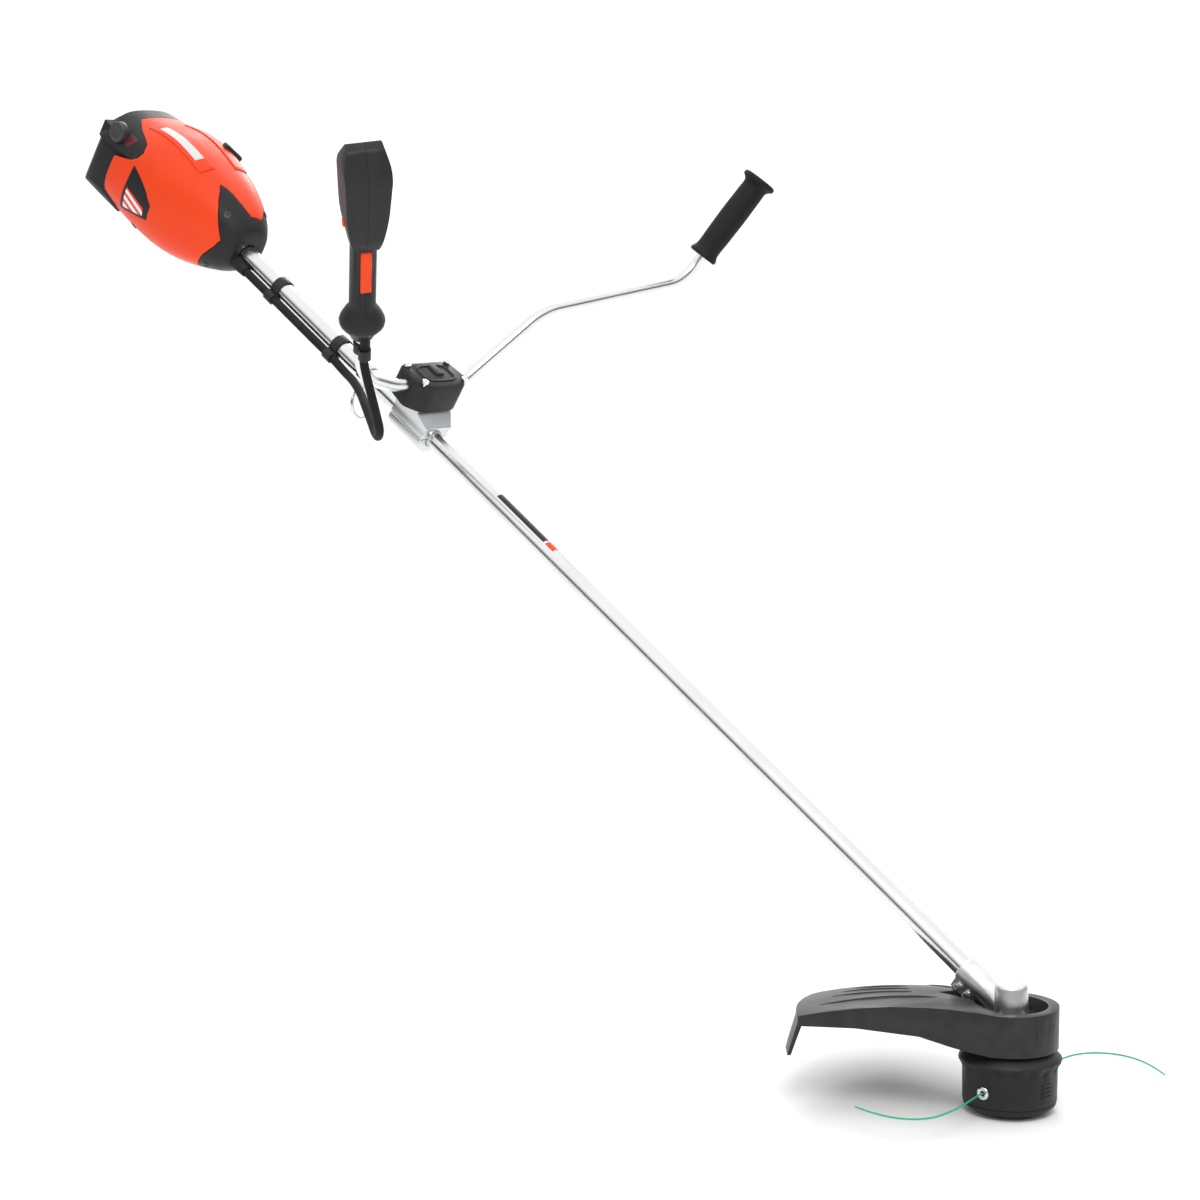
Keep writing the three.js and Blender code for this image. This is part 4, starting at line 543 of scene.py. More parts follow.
# %% Tree: copies set on points, each turned to its point's axis
set_copies, entry, leave = new_group(
    "set_copies", "GeometryNodeTree",
    [("Geometry", GEOMETRY, None), ("Item", "NodeSocketObject", None), ("Material", MATERIAL, None)],
    [("Geometry", GEOMETRY)],
)
axis = add_node(set_copies, "GeometryNodeInputNamedAttribute", {"Name": "axis"}, data_type="FLOAT_VECTOR")
facing = add_node(set_copies, "FunctionNodeAlignRotationToVector", {"Vector": axis.outputs[0]}, axis="Z")
item = add_node(set_copies, "GeometryNodeObjectInfo", {"Object": entry["Item"]})
copies = add_node(
    set_copies, "GeometryNodeInstanceOnPoints",
    {"Points": entry["Geometry"], "Instance": item.outputs["Geometry"], "Rotation": facing.outputs[0]},
)
paint_and_end(set_copies, copies.outputs[0], entry, leave)
print("trees:", [g.name for g in bpy.data.node_groups])

# %% [markdown]
# ## Shapes made in mesh code
# Turned parts come from a profile of radius and height, spun by hand so that both ends close well. Rounded boxes
# cover the rest of the small pieces.


# %% Helpers: turned parts and rounded boxes
def turned(profile, segments=72, ripple=None):
    """Body of revolution about Z. Profile points are (radius, height); ripple changes a radius by angle."""
    verts, rings = [], []
    for radius, height in profile:
        if radius < 1e-6:
            rings.append([len(verts)])
            verts.append((0, 0, height))
            continue
        row = []
        for i in range(segments):
            angle = 2 * math.pi * i / segments
            r = radius + (ripple(angle, height, radius) if ripple else 0)
            row.append(len(verts))
            verts.append((r * math.cos(angle), r * math.sin(angle), height))
        rings.append(row)
    faces = []
    for lower, upper in zip(rings, rings[1:]):
        for i in range(segments):
            j = (i + 1) % segments
            a, b = lower[i % len(lower)], lower[j % len(lower)]
            c, d = upper[j % len(upper)], upper[i % len(upper)]
            face = [v for k, v in enumerate((a, b, c, d)) if v not in (a, b, c, d)[:k]]
            if len(face) > 2:
                faces.append(face)
    return facing_out(mesh_from(verts, faces))


def facing_out(mesh):
    work = bmesh.new()
    work.from_mesh(mesh)
    bmesh.ops.remove_doubles(work, verts=work.verts, dist=1e-4)
    bmesh.ops.recalc_face_normals(work, faces=work.faces)
    work.to_mesh(mesh)
    work.free()
    return mesh


def rounded_box(size, centre=(0, 0, 0), radius=1.0, segments=3):
    work = bmesh.new()
    bmesh.ops.create_cube(work, size=1)
    bmesh.ops.scale(work, vec=size, verts=work.verts)
    bmesh.ops.translate(work, vec=centre, verts=work.verts)
    mesh = bpy.data.meshes.new("box")
    work.to_mesh(mesh)
    work.free()
    return baked(mesh, bevel(radius, segments, 30))


def joined(*meshes):
    work = bmesh.new()
    for mesh in meshes:
        work.from_mesh(mesh)
    result = bpy.data.meshes.new("joined")
    work.to_mesh(result)
    work.free()
    return result


# %% [markdown]
# Many machined and moulded parts already have their true shape in the frame, but with knife-sharp edges. For those
# we take a copy of the node's mesh, merge it, clear the flat triangles and round every edge. Only the copy changes.


# %% Helper: a frame node with rounded edges
def softened(node, width):
    mesh = frame["nodes"][node].data.copy()
    work = bmesh.new()
    work.from_mesh(mesh)
    bmesh.ops.remove_doubles(work, verts=work.verts, dist=2e-5)
    bmesh.ops.dissolve_limit(work, angle_limit=math.radians(1.5), verts=work.verts, edges=work.edges)
    work.to_mesh(mesh)
    work.free()
    return baked(mesh, bevel(width * MILLIMETRE, angle=32))


def body_of(node):
    return next(name for name, nodes in frame["record"]["behaviour"]["bodies"].items() if node in nodes)


SOFTENED = {
    "gear_case": (cast_metal, 1.2), "clamp_base": (cast_metal, 2.0), "clamp_shaft_cap": (cast_metal, 2.0),
    "clamp_cover": (black_shell, 2.2), "motor_frame": (cast_metal, 0.8), "line_cutter": (plated_steel, 0.3),
    "throttle_half_outer": (black_shell, 1.2), "throttle_half_inner": (black_shell, 1.2),
    "throttle_trigger": (orange_shell, 0.6), "lockout_lever": (grey_shell, 0.6), "power_button": (orange_shell, 0.8),
    "speed_dial": (grey_shell, 0.5), "battery_pack": (black_shell, 3.0), "cable_clip_lower": (black_shell, 0.6),
    "cable_clip_upper": (black_shell, 0.6), "cable_strap": (black_shell, 0.8), "cable_gland": (soft_rubber, 0.5),
    "hanger_band": (plated_steel, 0.5), "cooling_fan": (black_shell, 0.3),
    "controller_board": (circuit_board, 0.3), "head_lid": (black_shell, 0.8), "shield": (satin_black, 1.4),
}
for name in ("case_clamp_bolt_front", "case_clamp_bolt_rear", "shield_screw_1", "shield_screw_2", "shield_screw_3",
             "clamp_bolt_1", "clamp_bolt_2", "clamp_bolt_3", "clamp_bolt_4"):
    SOFTENED[name] = (plated_steel, 0.4)
for node, (material, width) in SOFTENED.items():
    keep_piece(node + "_finished", softened(node, width), Matrix(), material, body_of(node), [node])
print("softened nodes:", len(SOFTENED))

# %% [markdown]
# Inner parts that nobody sees closely keep their frame meshes, and only get a finish.

# %% Finishes for the nodes that keep their meshes
KEPT = {
    "shaft_bushing_lower": soft_rubber, "shaft_bushing_upper": soft_rubber,
    "bevel_gear": ground_steel, "pinion_gear": ground_steel, "motor_rotor": ground_steel,
    "pinion_bearing": plated_steel, "output_shaft": plated_steel, "output_bearing_upper": plated_steel,
    "output_bearing_lower": plated_steel, "drive_coupling": plated_steel, "drive_shaft": plated_steel,
    "motor_stator": copper_wire, "line_spool": green_nylon,
}
for node, material in KEPT.items():
    mesh = frame["nodes"][node].data
    mesh.materials.clear()
    mesh.materials.append(material)
    for face in mesh.polygons:
        face.material_index = 0
print("kept nodes:", len(KEPT))

# %% [markdown]
# ## Tubes
# The shaft is a long drawn tube, so a round section along a straight path is the honest way to make it. The sweep
# attribute gives it its die lines. The caps are taken off and the wall is turned inwards, because a tube is hollow.
# The handlebar is the same section along bent arms. A bend that starts a given reach before its corner has a radius
# of reach divided by the tangent of half the turn.


# %% The shaft tube
def hollow(mesh, wall):
    work = bmesh.new()
    work.from_mesh(mesh)
    bmesh.ops.delete(work, geom=[face for face in work.faces if len(face.verts) > 4], context="FACES_ONLY")
    work.to_mesh(mesh)
    work.free()
    return baked(mesh, thicken(wall))


SHAFT_START, SHAFT_END, SHAFT_RADIUS, SHAFT_WALL = 46, 1612, 12.7, 1.6
shaft = grown(round_path, path_mesh([(0, 0, SHAFT_START), (0, 0, SHAFT_END)]), radius=SHAFT_RADIUS, step=20.0, sides=64,
              material=drawn_aluminium)
keep_piece("shaft_tube", hollow(shaft, SHAFT_WALL), SHAFT, drawn_aluminium, "frame", ["main_tube"])
print("shaft tube length:", SHAFT_END - SHAFT_START)


# %% The handlebar
def bend_radii(points, reaches):
    radii = [0.0]
    for before, here, after, reach in zip(points, points[1:], points[2:], reaches):
        radii.append(reach / math.tan((here - before).angle(after - here) / 2))
    return radii + [0.0]


BAR_RADIUS, BAR_WALL = 8.8, 1.5
BAR_IN_THROTTLE, BAR_IN_GRIP = 60, 134
bar_points = [throttle_foot + near_arm * BAR_IN_THROTTLE, NEAR_BEND, Vector((0, -74, 0)), Vector((0, 65, 0)),
              Vector((107, 170, 0)), FAR_BEND, passive_foot + far_arm * BAR_IN_GRIP]
bar_route = path_mesh(bar_points, bend_radii(bar_points, [34, 18, 13, 24, 34]))
bar = grown(round_path, bar_route, radius=BAR_RADIUS, step=3.0, sides=48, material=drawn_aluminium)
keep_piece("bent_handlebar", hollow(bar, BAR_WALL), BAR, drawn_aluminium, "frame", ["handlebar"])

# %% [markdown]
# The left grip is a moulded rubber sleeve with a collar at each end. It is a turned part: a few radii with a soft
# curve between them, so the profile is smoothed before it is spun.


# %% The rubber grip on the long arm
def smooth_profile(points, count):
    return [(p.x, p.y) for p in smooth_route([(r, z, 0) for r, z in points], count)]


GRIP_LENGTH = 140
grip_outside = smooth_profile([
    (19.4, 0.0), (21.3, 1.5), (21.5, 4.0), (20.4, 7.0), (18.3, 12.0), (18.6, 40.0), (19.2, 75.0), (18.7, 112.0),
    (18.9, 126.0), (22.0, 130.0), (25.2, 132.6), (26.0, 135.5), (24.5, 138.6), (20.5, 139.8)], 90)
grip_bore = BAR_RADIUS + 0.3
grip_profile = [(grip_bore, 0)] + grip_outside + [(0, GRIP_LENGTH), (0, 135), (grip_bore, 135), (grip_bore, 0)]
keep_piece("rubber_grip", turned(grip_profile, 64), PASSIVE, soft_rubber, "frame", ["passive_grip"], crease=50)

# %% [markdown]
# The control cable is a rubber-covered loom. It leaves the powerhead beside the shaft, hangs in a tight loop under
# the bar, and goes up into the throttle. Its route is the frame's own route, as a smooth curve through the same
# places.

# %% The control cable
CABLE_RADIUS, CABLE_SIDE, CABLE_IN_THROTTLE = 6, (-13.5, -15), 16
cable_route = [(*CABLE_SIDE, along) for along in (1609, 1540, 1470, 1400, 1355)]
cable_route += [(-14, -17, 1322), (-9, -26, 1292), (-4, -42, 1258), (0, -62, 1224), (1, -80, 1190), (3, -96, 1162),
                (12, -110, 1144), (29, -122, 1138), (50, -133, 1146)]
cable_route = [Vector(point) for point in cable_route]
into_throttle = SHAFT.inverted() @ THROTTLE
cable_route += [into_throttle @ Vector((CABLE_IN_THROTTLE, 0, height)) for height in (-36, -18, 0, 20, 40)]
cable = grown(round_path, path_mesh(smooth_route(cable_route, 240)), radius=CABLE_RADIUS, step=2.0, sides=28,
              material=soft_rubber)
keep_piece("throttle_cable", cable, SHAFT, soft_rubber, "frame", ["control_cable"], crease=50)

# %% [markdown]
# ## The powerhead
# The powerhead's shell is a loft. Its sections across the shaft are rounded squares that grow from the nose to the
# motor and shrink a little towards the battery. Three moulded pieces share this one surface: a black nose, an orange
# motor cover and a black rear hood. Where two pieces meet, the split line is an angle-to-place rule. A sheet between
# two split lines is then given the wall thickness of a moulding.

# %% The shared surface
HULL_KNOTS = [  # along the shaft, half height, half width, lift of the middle
    (1587, 27, 26, 4), (1590, 33, 32, 4), (1604, 45, 43, 3), (1619, 53, 51, 3), (1640, 62, 60, 2), (1664, 70, 68, 1),
    (1690, 76, 75, 0), (1720, 80.5, 79.5, 0), (1760, 82, 82, 0), (1790, 79, 82, -2), (1822, 72, 81.5, -5),
    (1850, 67.5, 80.5, -7), (1878, 64, 78.5, -8)]
HULL_POWER = 2.6
HULL_COLUMNS = 180


def between(knots, place):
    """Straight interpolation in a table of (place, values...)."""
    for first, second in zip(knots, knots[1:]):
        if place <= second[0]:
            break
    share = max(0.0, min(1.0, (place - first[0]) / (second[0] - first[0])))
    return [a + (b - a) * share for a, b in zip(first[1:], second[1:])]


hull_sizes = [(*a, lift) for a, lift in (
    ((p.x, p.y, p.z), between(HULL_KNOTS, p.x)[2]) for p in smooth_route([k[:3] for k in HULL_KNOTS], 150))]


def hull_point(along, angle, lift=0.0):
    """Point of the surface at an angle from the top towards the machine's left."""
    high, wide, middle = between(hull_sizes, along)
    c, s = math.cos(math.radians(angle)), math.sin(math.radians(angle))
    up = math.copysign(abs(c) ** (2 / HULL_POWER), c) * (high + lift)
    side = math.copysign(abs(s) ** (2 / HULL_POWER), s) * (wide + lift)
    return Vector((up + middle, side, along))


def sheet(rows, closed):
    """Quads through rows of points, facing away from the shaft."""
    width = len(rows[0])
    verts = [point for row in rows for point in row]
    faces = []
    for i in range(len(rows) - 1):
        for j in range(width if closed else width - 1):
            k = (j + 1) % width
            faces.append((i * width + j, i * width + k, (i + 1) * width + k, (i + 1) * width + j))
    return mesh_from(verts, faces)


def hull_band(front, back, rows, extra=()):
    """Closed band of the surface between two split lines, each a function of the angle."""
    angles = [-180 + 360 * j / HULL_COLUMNS for j in range(HULL_COLUMNS)]
    bands = [list(row) for row in extra]
    for i in range(rows + 1):
        share = i / rows
        bands.append([hull_point(front(a) + (back(a) - front(a)) * share, a) for a in angles])
    return sheet(bands, True)


# %% The split lines and the three mouldings
NOSE_SPLIT = [  # angle, place along the shaft
    (-180, 1640), (-150, 1634), (-112, 1620), (-84, 1604), (-62, 1619), (-42, 1634), (-24, 1652), (-17, 1663),
    (-11, 1650), (-5, 1622), (0, 1606), (20, 1603), (36, 1620), (50, 1655), (60, 1650), (75, 1630), (90, 1606),
    (112, 1620), (150, 1634), (180, 1640)]
HOOD_SPLIT = [(0, 1850), (20, 1848), (36, 1818), (50, 1787), (62, 1779), (70, 1783), (76, 1793), (82, 1826),
              (122, 1828), (130, 1812), (180, 1812)]
SHELL_WALL, SPLIT_GAP = 2.6, 0.5
NOSE_FRONT, COLLAR_RADIUS = 1587, 14


def nose_split(angle):
    return between(NOSE_SPLIT, angle)[0]


def hood_split(angle):
    return between(HOOD_SPLIT, abs(angle))[0]


collar = [Vector((COLLAR_RADIUS * math.cos(math.radians(a)), COLLAR_RADIUS * math.sin(math.radians(a)),
                  NOSE_FRONT + 0.5)) for a in range(-180, 180, 360 // HULL_COLUMNS)]
nose = hull_band(lambda a: NOSE_FRONT, lambda a: nose_split(a) - SPLIT_GAP, 18, extra=[collar])
nose = baked(nose, thicken(SHELL_WALL), bevel(0.7, 2, 40))
keep_piece("powerhead_nose", nose, SHAFT, black_shell, "frame", ["nose_housing"])

cover = hull_band(lambda a: nose_split(a) + SPLIT_GAP, lambda a: hood_split(a) - SPLIT_GAP, 40)
cover = baked(cover, thicken(SHELL_WALL), bevel(0.7, 2, 40))
keep_piece("orange_motor_cover", cover, SHAFT, orange_shell, "frame", ["motor_cover"])

# %% [markdown]
# The rear hood is a closed moulding that carries the battery's rails. Each of its sections follows the shared
# surface over the top, then steps in and up over the battery.

# %% The rear hood
HOOD_EDGE, BATTERY_ROOM, RAIL_GAP = 76, 37.5, 72.8
HOOD_FRONT, HOOD_BACK = 1790, 1878
TUCK_START, TUCK_DEPTH = 0.9, 45
hood_rows = []
for share in (0, 0.06, 0.2, 0.35, 0.5, 0.65, 0.8, 0.9, 0.96, 0.99, 1):
    tuck = max(0, share - TUCK_START) * TUCK_DEPTH
    arc = []
    for angle in range(-HOOD_EDGE, HOOD_EDGE + 1, 2):
        start = hood_split(angle) + SPLIT_GAP
        arc.append(hull_point(start + (HOOD_BACK - start) * share, angle, -tuck))
    along = HOOD_FRONT + (HOOD_BACK - HOOD_FRONT) * share
    inner = [(BATTERY_ROOM, RAIL_GAP), (BATTERY_ROOM, -RAIL_GAP)]
    foot = arc[0].x
    outline = arc + [Vector((foot, RAIL_GAP, along))] + [Vector((u, y, along)) for u, y in inner]
    hood_rows.append(outline + [Vector((foot, -RAIL_GAP, along))])
hood = sheet(hood_rows, True)
hood_caps = bmesh.new()
hood_caps.from_mesh(hood)
bmesh.ops.holes_fill(hood_caps, edges=hood_caps.edges, sides=0)
hood_caps.to_mesh(hood)
hood_caps.free()
keep_piece("rear_hood", baked(facing_out(hood), bevel(1.2, 3, 40)), SHAFT, black_shell, "frame", ["rear_housing"])

# %% [markdown]
# Raised ridges, a dark red field at the battery latch, a pale stripe and a striped patch break up the big surfaces.
# They follow the shared surface, a little above it. Nothing is printed on them but the stripes.


# %% Patches on the powerhead
PATCH_STEPS = 16
PRINT_WHITE, STRIPE_RED = (0.8, 0.8, 0.79, 1), (0.75, 0.05, 0.03, 1)


def hull_patch(corners, lift):
    """Sheet over four (along, angle) corners, lifted off the surface."""
    rows = []
    for i in range(PATCH_STEPS + 1):
        first = Vector(corners[0]).lerp(Vector(corners[3]), i / PATCH_STEPS)
        second = Vector(corners[1]).lerp(Vector(corners[2]), i / PATCH_STEPS)
        rows.append([hull_point(*first.lerp(second, j / PATCH_STEPS), lift) for j in range(PATCH_STEPS + 1)])
    return sheet(rows, False)


def keep_patch(name, corners, lift, depth, material, slot):
    mesh = baked(facing_up(hull_patch(corners, lift)), thicken(depth), bevel(min(0.5, depth / 3), 2, 40))
    return keep_piece(name, mesh, SHAFT, material, "frame", slot=slot)


def facing_up(mesh):
    """Turn a patch over if it faces the shaft."""
    work = bmesh.new()
    work.from_mesh(mesh)
    work.faces.ensure_lookup_table()
    middle = work.faces[len(work.faces) // 2]
    centre = middle.calc_center_median()
    middle.normal_update()
    if middle.normal.dot(Vector((centre.x, centre.y, 0))) < 0:
        bmesh.ops.reverse_faces(work, faces=work.faces)
    work.to_mesh(mesh)
    work.free()
    return mesh


pale_print = make_finish("pale_print", (0.75, 0.75, 0.74), 0.4, grain_scale=1200, grain_depth=0.05, dusty=0.05)
striped_print = make_finish("striped_print", PRINT_WHITE[:3], 0.35, grain_scale=1200, grain_depth=0.05, dusty=0.05)
striped_tree = striped_print.node_tree
place = add_node(striped_tree, "ShaderNodeTexCoord").outputs["Object"]
waves = add_node(striped_tree, "ShaderNodeTexWave", {"Vector": place, "Scale": 46.0}, bands_direction="DIAGONAL")
sharp = add_node(striped_tree, "ShaderNodeMapRange",
                 {"Value": waves.outputs["Fac"], "From Min": 0.48, "From Max": 0.52})
stripes = mix_colour(striped_tree, sharp.outputs[0], PRINT_WHITE, STRIPE_RED)
striped_tree.links.new(stripes, striped_tree.nodes["Principled BSDF"].inputs["Base Color"])

keep_patch("cover_ridge", [(1690, -10), (1690, -30), (1818, -27), (1818, -10)], 1.6, 2.6, orange_shell,
           "orange_plastic")
keep_patch("ridge_stripe", [(1712, -13), (1712, -24), (1802, -22), (1802, -13)], 2.0, 0.7, pale_print,
           "grey_plastic")
keep_patch("warning_patch", [(1780, -78), (1722, -93), (1722, -108), (1784, -122)], 0.5, 0.8, satin_black,
           "black_plastic")
keep_patch("warning_stripes", [(1776, -94), (1733, -99), (1731, -107), (1776, -116)], 1.1, 0.7, striped_print,
           "grey_plastic")
keep_patch("left_ridge", [(1690, 10), (1690, 30), (1818, 27), (1818, 10)], 1.6, 2.6, orange_shell, "orange_plastic")
keep_patch("latch_recess", [(1803, -52), (1812, -66), (1828, -62), (1822, -48)], 0.5, 0.9, dark_red, "black_plastic")
print("powerhead pieces done")

# %% The battery latch disc
LATCH_PLACE, LATCH_RADIUS, LATCH_FACE = (42, 1838), 15, 83
latch_profile = [(0, -22), (4, -22), (4, -12), (LATCH_RADIUS - 0.3, -12), (LATCH_RADIUS, -11), (LATCH_RADIUS, -2.2),
                 (LATCH_RADIUS - 0.8, -0.8), (LATCH_RADIUS - 2.4, 0), (8, -0.2), (5, -0.9), (0, -1.1)]
latch_place = SHAFT @ shift(LATCH_PLACE[0], -LATCH_FACE, LATCH_PLACE[1]) @ turn(90, "X")
keep_piece("latch_disc", turned(latch_profile, 64), latch_place, grey_shell, "release_button", ["battery_release"])

# %% [markdown]
# The housing's screws and the cooling slots on the cover's left side are repeated shapes. One of each is modelled,
# and a Geometry Nodes tree sets the copies. A single lug stands on top of the cover.


# %% Screws and slots
def set_out(item, spots, material):
    """Copies of a mesh on (position, axis) spots."""
    points = mesh_from([position for position, _ in spots], [])
    axis = points.attributes.new("axis", "FLOAT_VECTOR", "POINT")
    axis.data.foreach_set("vector", [value for _, direction in spots for value in direction])
    holder = bpy.data.objects.new("item", item)
    bpy.context.collection.objects.link(holder)
    result = grown(set_copies, points, item=holder, material=material)
    bpy.data.objects.remove(holder)
    return result


def hull_spot(along, angle, lift=0.0):
    here = hull_point(along, angle, lift)
    forward = hull_point(along + 1, angle, lift) - here
    across = hull_point(along, angle + 1, lift) - here
    return here, tuple(across.cross(forward).normalized())


socket_screw = turned([
    (0, -1.5), (5.6, -1.5), (5.6, 0.2), (5.0, 0.9), (3.6, 1.0), (3.4, 0.6), (3.4, -0.6), (2.9, -0.6), (2.9, 0.5),
    (1.5, 0.6), (1.4, -0.4), (0, -0.4)], 36)
SCREW_SPOTS = ((1618, -40), (1618, 40), (1618, -140), (1618, 140), (1758, -140), (1758, 140))
cover_screws = [hull_spot(along, angle) for along, angle in SCREW_SPOTS]
keep_piece("housing_screws", set_out(socket_screw, cover_screws, blackened_steel), SHAFT, blackened_steel, "frame",
           slot="dark_steel")
slot = rounded_box((3.2, 26, 1.6), radius=0.7)
left_slots = [hull_spot(along, 96, 0.1) for along in range(1700, 1741, 10)]
lug = rounded_box((16, 34, 12), radius=3.5, segments=4)
lugs = set_out(lug, [hull_spot(1737, 31, 0.5)], black_shell)
keep_piece("cable_bump", lugs, SHAFT, black_shell, "frame", slot="black_plastic")
keep_piece("cooling_slots", set_out(slot, left_slots, satin_black), SHAFT, satin_black, "frame", slot="black_plastic")

# %% [markdown]
# ## The cutting head
# The head's housing is turned, with a scalloped rim for grip. The bump knob has shallow finger flats. Raised bars
# mark the two latches that hold the lid.


# %% Head housing and latch bars
def rim_scallops(angle, height, radius):
    return 1.1 * (math.cos(18 * angle) - 1) if 54 < height < 62 and radius > 56 else 0.0


housing_profile = [
    (5.3, 70), (50, 70), (53, 60), (53, 12.4), (55.2, 12.4), (56, 13.2), (56.4, 30), (56.6, 51), (57.4, 54.5),
    (59.6, 58.5), (61.2, 61), (61.5, 63), (61, 65), (58, 68), (52.5, 73.2), (51, 74), (20, 74), (5.3, 74), (5.3, 70)]
housing = turned(housing_profile, 216, rim_scallops)
keep_piece("head_shell", housing, WORLD, black_shell, "head", ["head_housing"], crease=40)
latch_bars = grown(row_copies, rounded_box((2.2, 17, 2.0), radius=0.7), count=4, step=(0, 0, 5.0), material=satin_black)
latches = grown(ring_copies, latch_bars, count=2, radius=56.4, first_angle=-6.0, material=satin_black)
keep_piece("latch_bars", latches, WORLD @ shift(0, 0, 26), satin_black, "head", slot="black_plastic")
ribs = grown(ring_copies, rounded_box((1.4, 1.6, 7), radius=0.5), count=36, radius=55.6, material=black_shell)
keep_piece("lid_grip_ribs", ribs, WORLD @ shift(0, 0, 17.4), black_shell, "head", slot="black_plastic")


# %% Bump knob, its spring and the line eyelets
def finger_flats(angle, height, radius):
    return -0.9 * (0.5 - 0.5 * math.cos(12 * angle)) if radius > 23 and height < 12 else 0.0


knob_profile = [(0, 0.9), (9, 0.6), (11, 0), (17, 0), (20.5, 0.5), (24, 2.2), (26.4, 4.6), (27, 7.5), (26.8, 10),
                (22.6, 14.4), (0, 14.7)]
keep_piece("knob", turned(knob_profile, 144, finger_flats), WORLD, satin_black, "knob", ["bump_knob"], crease=40)

SPRING_TURNS, SPRING_RADIUS, SPRING_FOOT, SPRING_TOP = 4, 13, 28.5, 68
TURN_STEPS, KNOB_TRAVEL = 40, 6
helix = []
for step in range(SPRING_TURNS * TURN_STEPS + 1):
    angle = 2 * math.pi * step / TURN_STEPS
    rise = SPRING_FOOT + (SPRING_TOP - SPRING_FOOT) * step / (SPRING_TURNS * TURN_STEPS)
    helix.append((SPRING_RADIUS * math.cos(angle), SPRING_RADIUS * math.sin(angle), rise))
spring = grown(round_path, path_mesh(helix), radius=1.0, step=1.2, sides=14, material=plated_steel)
coil_spring = keep_piece("coil_spring", spring, WORLD, plated_steel, body_of("knob_spring"), ["knob_spring"],
                         crease=50)
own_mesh(coil_spring)

EYELET_PROFILE = [(3, -4), (6.6, -4), (6.6, 0), (7.5, 0.2), (7.9, 1.0), (7.3, 1.9), (5.6, 2.4), (3.8, 2.1), (3.1, 1.2),
                  (3, -4)]
eyelet_spots = [((0, side * 56, 31), (0, side, 0)) for side in (-1, 1)]
eyelets = set_out(turned(EYELET_PROFILE, 48), eyelet_spots, plated_steel)
keep_piece("line_eyelets", eyelets, WORLD, plated_steel, "head", ["eyelet_right", "eyelet_left"], crease=45)

# %% [markdown]
# ## Ring, ribs and labels
# The harness ring is a closed loop of wire. The shield carries moulded ribs that follow its dome, and the shaft has
# two blank labels.


# %% The harness ring
def loop_mesh(points):
    mesh = bpy.data.meshes.new("loop")
    mesh.from_pydata([tuple(p) for p in points], [(i, (i + 1) % len(points)) for i in range(len(points))], [])
    return mesh


RING_EYE, RING_WIDTH, RING_HEIGHT, RING_WIRE = (-1093.95, 0, 806.69), 33, 40, 2.4
oval = [(0, RING_WIDTH / 2 * math.sin(2 * math.pi * i / 64), RING_HEIGHT / 2 * (math.cos(2 * math.pi * i / 64) - 1))
        for i in range(64)]
ring = grown(round_path, loop_mesh(oval), radius=RING_WIRE, step=2.0, sides=20, material=plated_steel)
keep_piece("harness_loop", ring, WORLD @ shift(*RING_EYE), plated_steel, "hook_ring", ["hanger_ring"], crease=60)

# %% Raised rim on the bar clamp's cover
CLAMP_TOP, RIM_LENGTH, RIM_WIDTH = 78, 17, 28
rim_points = []
for i in range(48):
    angle = 2 * math.pi * i / 48
    c, s = math.cos(angle), math.sin(angle)
    side = RIM_WIDTH * math.copysign(abs(s) ** 0.5, s)
    along = CLAMP_PLACE + RIM_LENGTH * math.copysign(abs(c) ** 0.5, c)
    rim_points.append((CLAMP_TOP - 0.6, side, along))
rim = grown(round_path, loop_mesh(rim_points), radius=2.4, step=1.5, sides=16, material=black_shell)
boss = rounded_box((6, 15, 24), (CLAMP_TOP, 4, CLAMP_PLACE + 6), 2.6, 4)
keep_piece("clamp_rim", joined(rim, boss), SHAFT, black_shell, "frame", slot="black_plastic", crease=60)

# %% Ribs on the shield
DOME_PLACE, DOME_PEAK, DOME_RADIUS = Vector((-70, -90)), 135, 600
RIB_STEPS = 24


def dome_rib(start, end, radius):
    points = []
    for step in range(RIB_STEPS + 1):
        spot = Vector(start).lerp(Vector(end), step / RIB_STEPS)
        height = DOME_PEAK - (spot - DOME_PLACE).length_squared / (2 * DOME_RADIUS)
        fade = math.sin(math.pi * step / RIB_STEPS) ** 0.5
        points.append((spot.x, spot.y, height - radius + fade * radius * 0.55))
    return grown(round_path, path_mesh(points), radius=radius, step=2.0, sides=20, material=satin_black)


dome_ribs = joined(
    dome_rib((-178, -140), (-70, -50), 3.6), dome_rib((-190, -100), (-112, -44), 2.6),
    dome_rib((-196, -70), (-128, -26), 2.6), dome_rib((-200, -40), (-144, -8), 2.6),
    dome_rib((-150, 40), (-80, 34), 2.6))
keep_piece("shield_ribs", dome_ribs, WORLD, satin_black, "frame", slot="black_plastic", crease=60)


# %% Blank labels on the shaft
LABEL_RADIUS, LABEL_ANGLES, LABEL_ROWS = SHAFT_RADIUS + 0.3, range(-30, 19, 4), 8


def tube_label(name, low, high, material, slot):
    rows = []
    for i in range(LABEL_ROWS + 1):
        along = low + (high - low) * i / LABEL_ROWS
        turns = [math.radians(a) for a in LABEL_ANGLES]
        rows.append([(LABEL_RADIUS * math.cos(a), LABEL_RADIUS * math.sin(a), along) for a in turns])
    mesh = baked(facing_up(sheet(rows, False)), thicken(0.35))
    keep_piece(name, mesh, SHAFT, material, "frame", slot=slot, crease=50)


tube_label("dark_label", 900, 1000, satin_black, "black_plastic")
tube_label("orange_label", 880, 896, orange_shell, "orange_plastic")

# %% [markdown]
# ## Floor and light
# A pale floor and a sky that is bright overhead and dark low behind the camera give the look of a product studio: the
# dark band draws clean edges on the tubes. The camera itself sees a plain bright backdrop. One large lamp from the
# right and one from behind add long highlights.

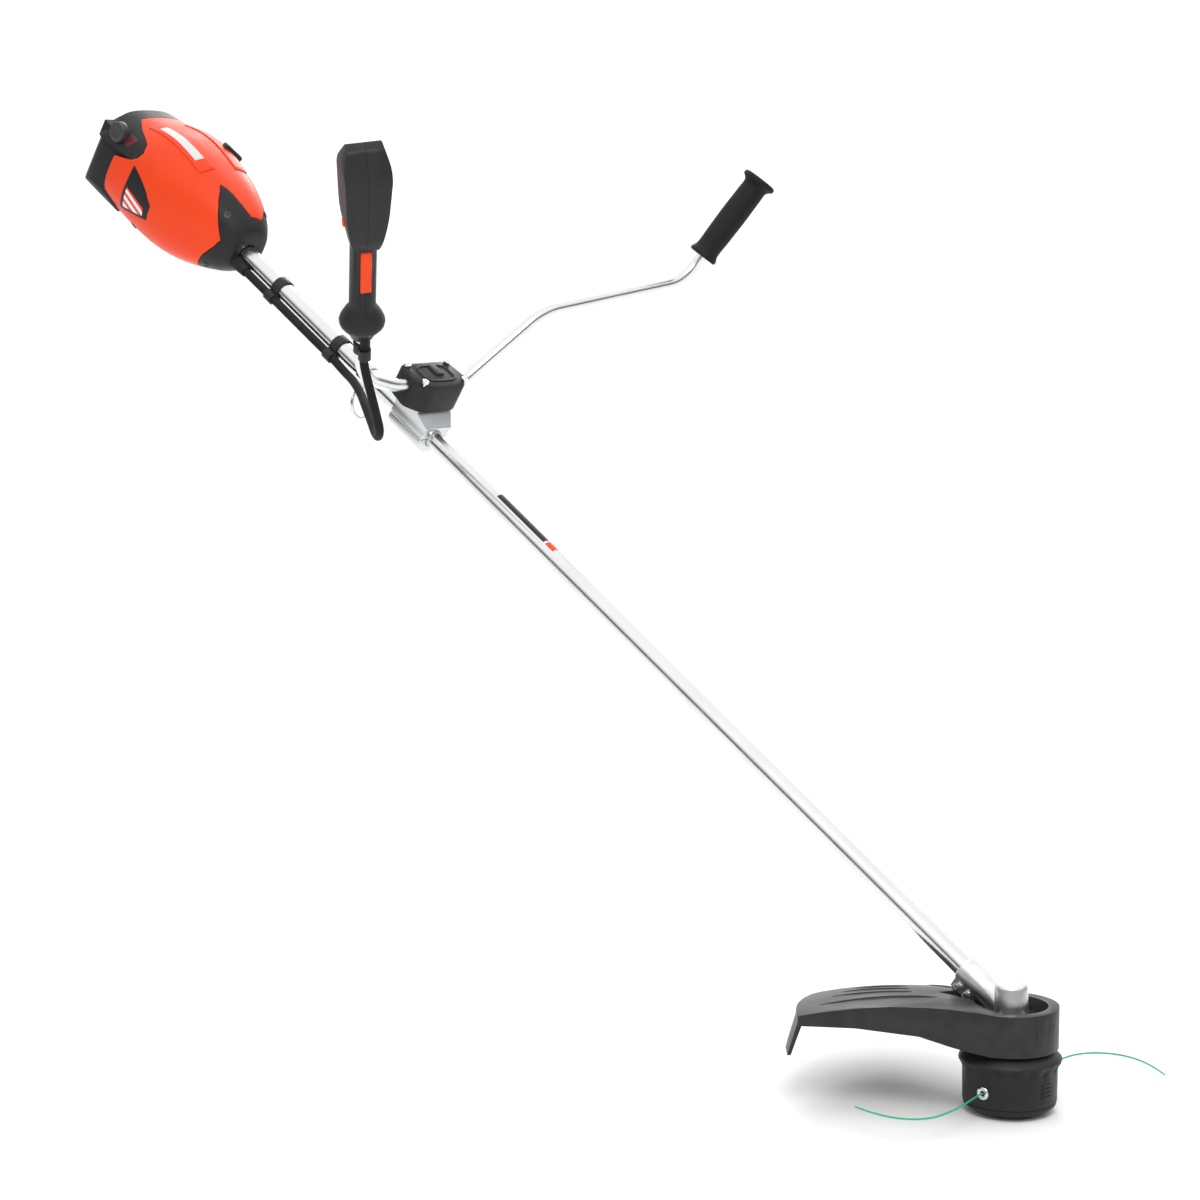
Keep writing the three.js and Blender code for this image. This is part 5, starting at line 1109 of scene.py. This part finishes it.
# %% Floor, sky and lamps
FLOOR_HALF = 40
floor_mesh = mesh_from([(FLOOR_HALF * x, FLOOR_HALF * y, 0) for x, y in ((-1, -1), (1, -1), (1, 1), (-1, 1))],
                       [(0, 1, 2, 3)])
floor_mesh.transform(Matrix.Translation((0, 0, -0.002)))
floor_finish = bpy.data.materials.new("pale_floor")
floor_finish.use_nodes = True
floor_shader = floor_finish.node_tree.nodes["Principled BSDF"]
floor_shader.inputs["Roughness"].default_value = 0.9
floor_shader.inputs["Specular IOR Level"].default_value = 0.1
place = add_node(floor_finish.node_tree, "ShaderNodeTexCoord").outputs["Object"]
speck = add_node(floor_finish.node_tree, "ShaderNodeTexNoise", {"Vector": place, "Scale": 3.0, "Detail": 4.0})
floor_tone = mix_colour(floor_finish.node_tree, speck.outputs["Fac"], (0.9, 0.9, 0.9, 1), (0.93, 0.93, 0.93, 1))
floor_finish.node_tree.links.new(floor_tone, floor_shader.inputs["Base Color"])
floor_mesh.materials.append(floor_finish)
floor = bpy.data.objects.new("floor", floor_mesh)
bpy.context.collection.objects.link(floor)

sky = bpy.data.worlds.new("studio_sky")
sky.use_nodes = True
sky_tree = sky.node_tree
direction = add_node(sky_tree, "ShaderNodeTexCoord").outputs["Generated"]
height = add_node(sky_tree, "ShaderNodeSeparateXYZ", {0: direction}).outputs["Z"]
overhead = add_node(sky_tree, "ShaderNodeMapRange", {
    "Value": height, "From Min": 0.12, "From Max": 0.6, "To Min": 0.08, "To Max": 1.22
}, interpolation_type="SMOOTHSTEP")
depth = add_node(sky_tree, "ShaderNodeVectorMath", {0: direction, 1: (-0.66, 0.75, 0)}, operation="DOT_PRODUCT")
backdrop = add_node(sky_tree, "ShaderNodeMapRange", {
    "Value": depth.outputs["Value"], "From Min": 0.35, "From Max": 0.8, "To Min": 0.0, "To Max": 1.2},
    interpolation_type="SMOOTHSTEP")
glow = add_node(sky_tree, "ShaderNodeMath", {0: overhead.outputs[0], 1: backdrop.outputs[0]}, operation="MAXIMUM")
seen = add_node(sky_tree, "ShaderNodeLightPath").outputs["Is Camera Ray"]
backdrop_seen = add_node(sky_tree, "ShaderNodeMath", {0: glow.outputs[0], 1: seen}, operation="MAXIMUM")
sky_tree.links.new(backdrop_seen.outputs[0], sky_tree.nodes["Background"].inputs["Strength"])
sky_tree.nodes["Background"].inputs["Color"].default_value = (1, 1, 1, 1)
bpy.context.scene.world = sky
bpy.context.scene.view_settings.view_transform = "Standard"


def add_lamp(name, place, target, size, power):
    lamp_data = bpy.data.lights.new(name, "AREA")
    lamp_data.shape = "DISK"
    lamp_data.size = size
    lamp_data.energy = power
    lamp = bpy.data.objects.new(name, lamp_data)
    bpy.context.collection.objects.link(lamp)
    lamp.location = place
    lamp.rotation_euler = (Vector(place) - Vector(target)).to_track_quat("Z", "Y").to_euler()


add_lamp("key_lamp", (1.6, -2.2, 3.2), (-0.6, 0, 0.5), 1.8, 60)
add_lamp("back_lamp", (-2.6, 2.4, 2.6), (-0.6, 0, 0.5), 1.6, 40)
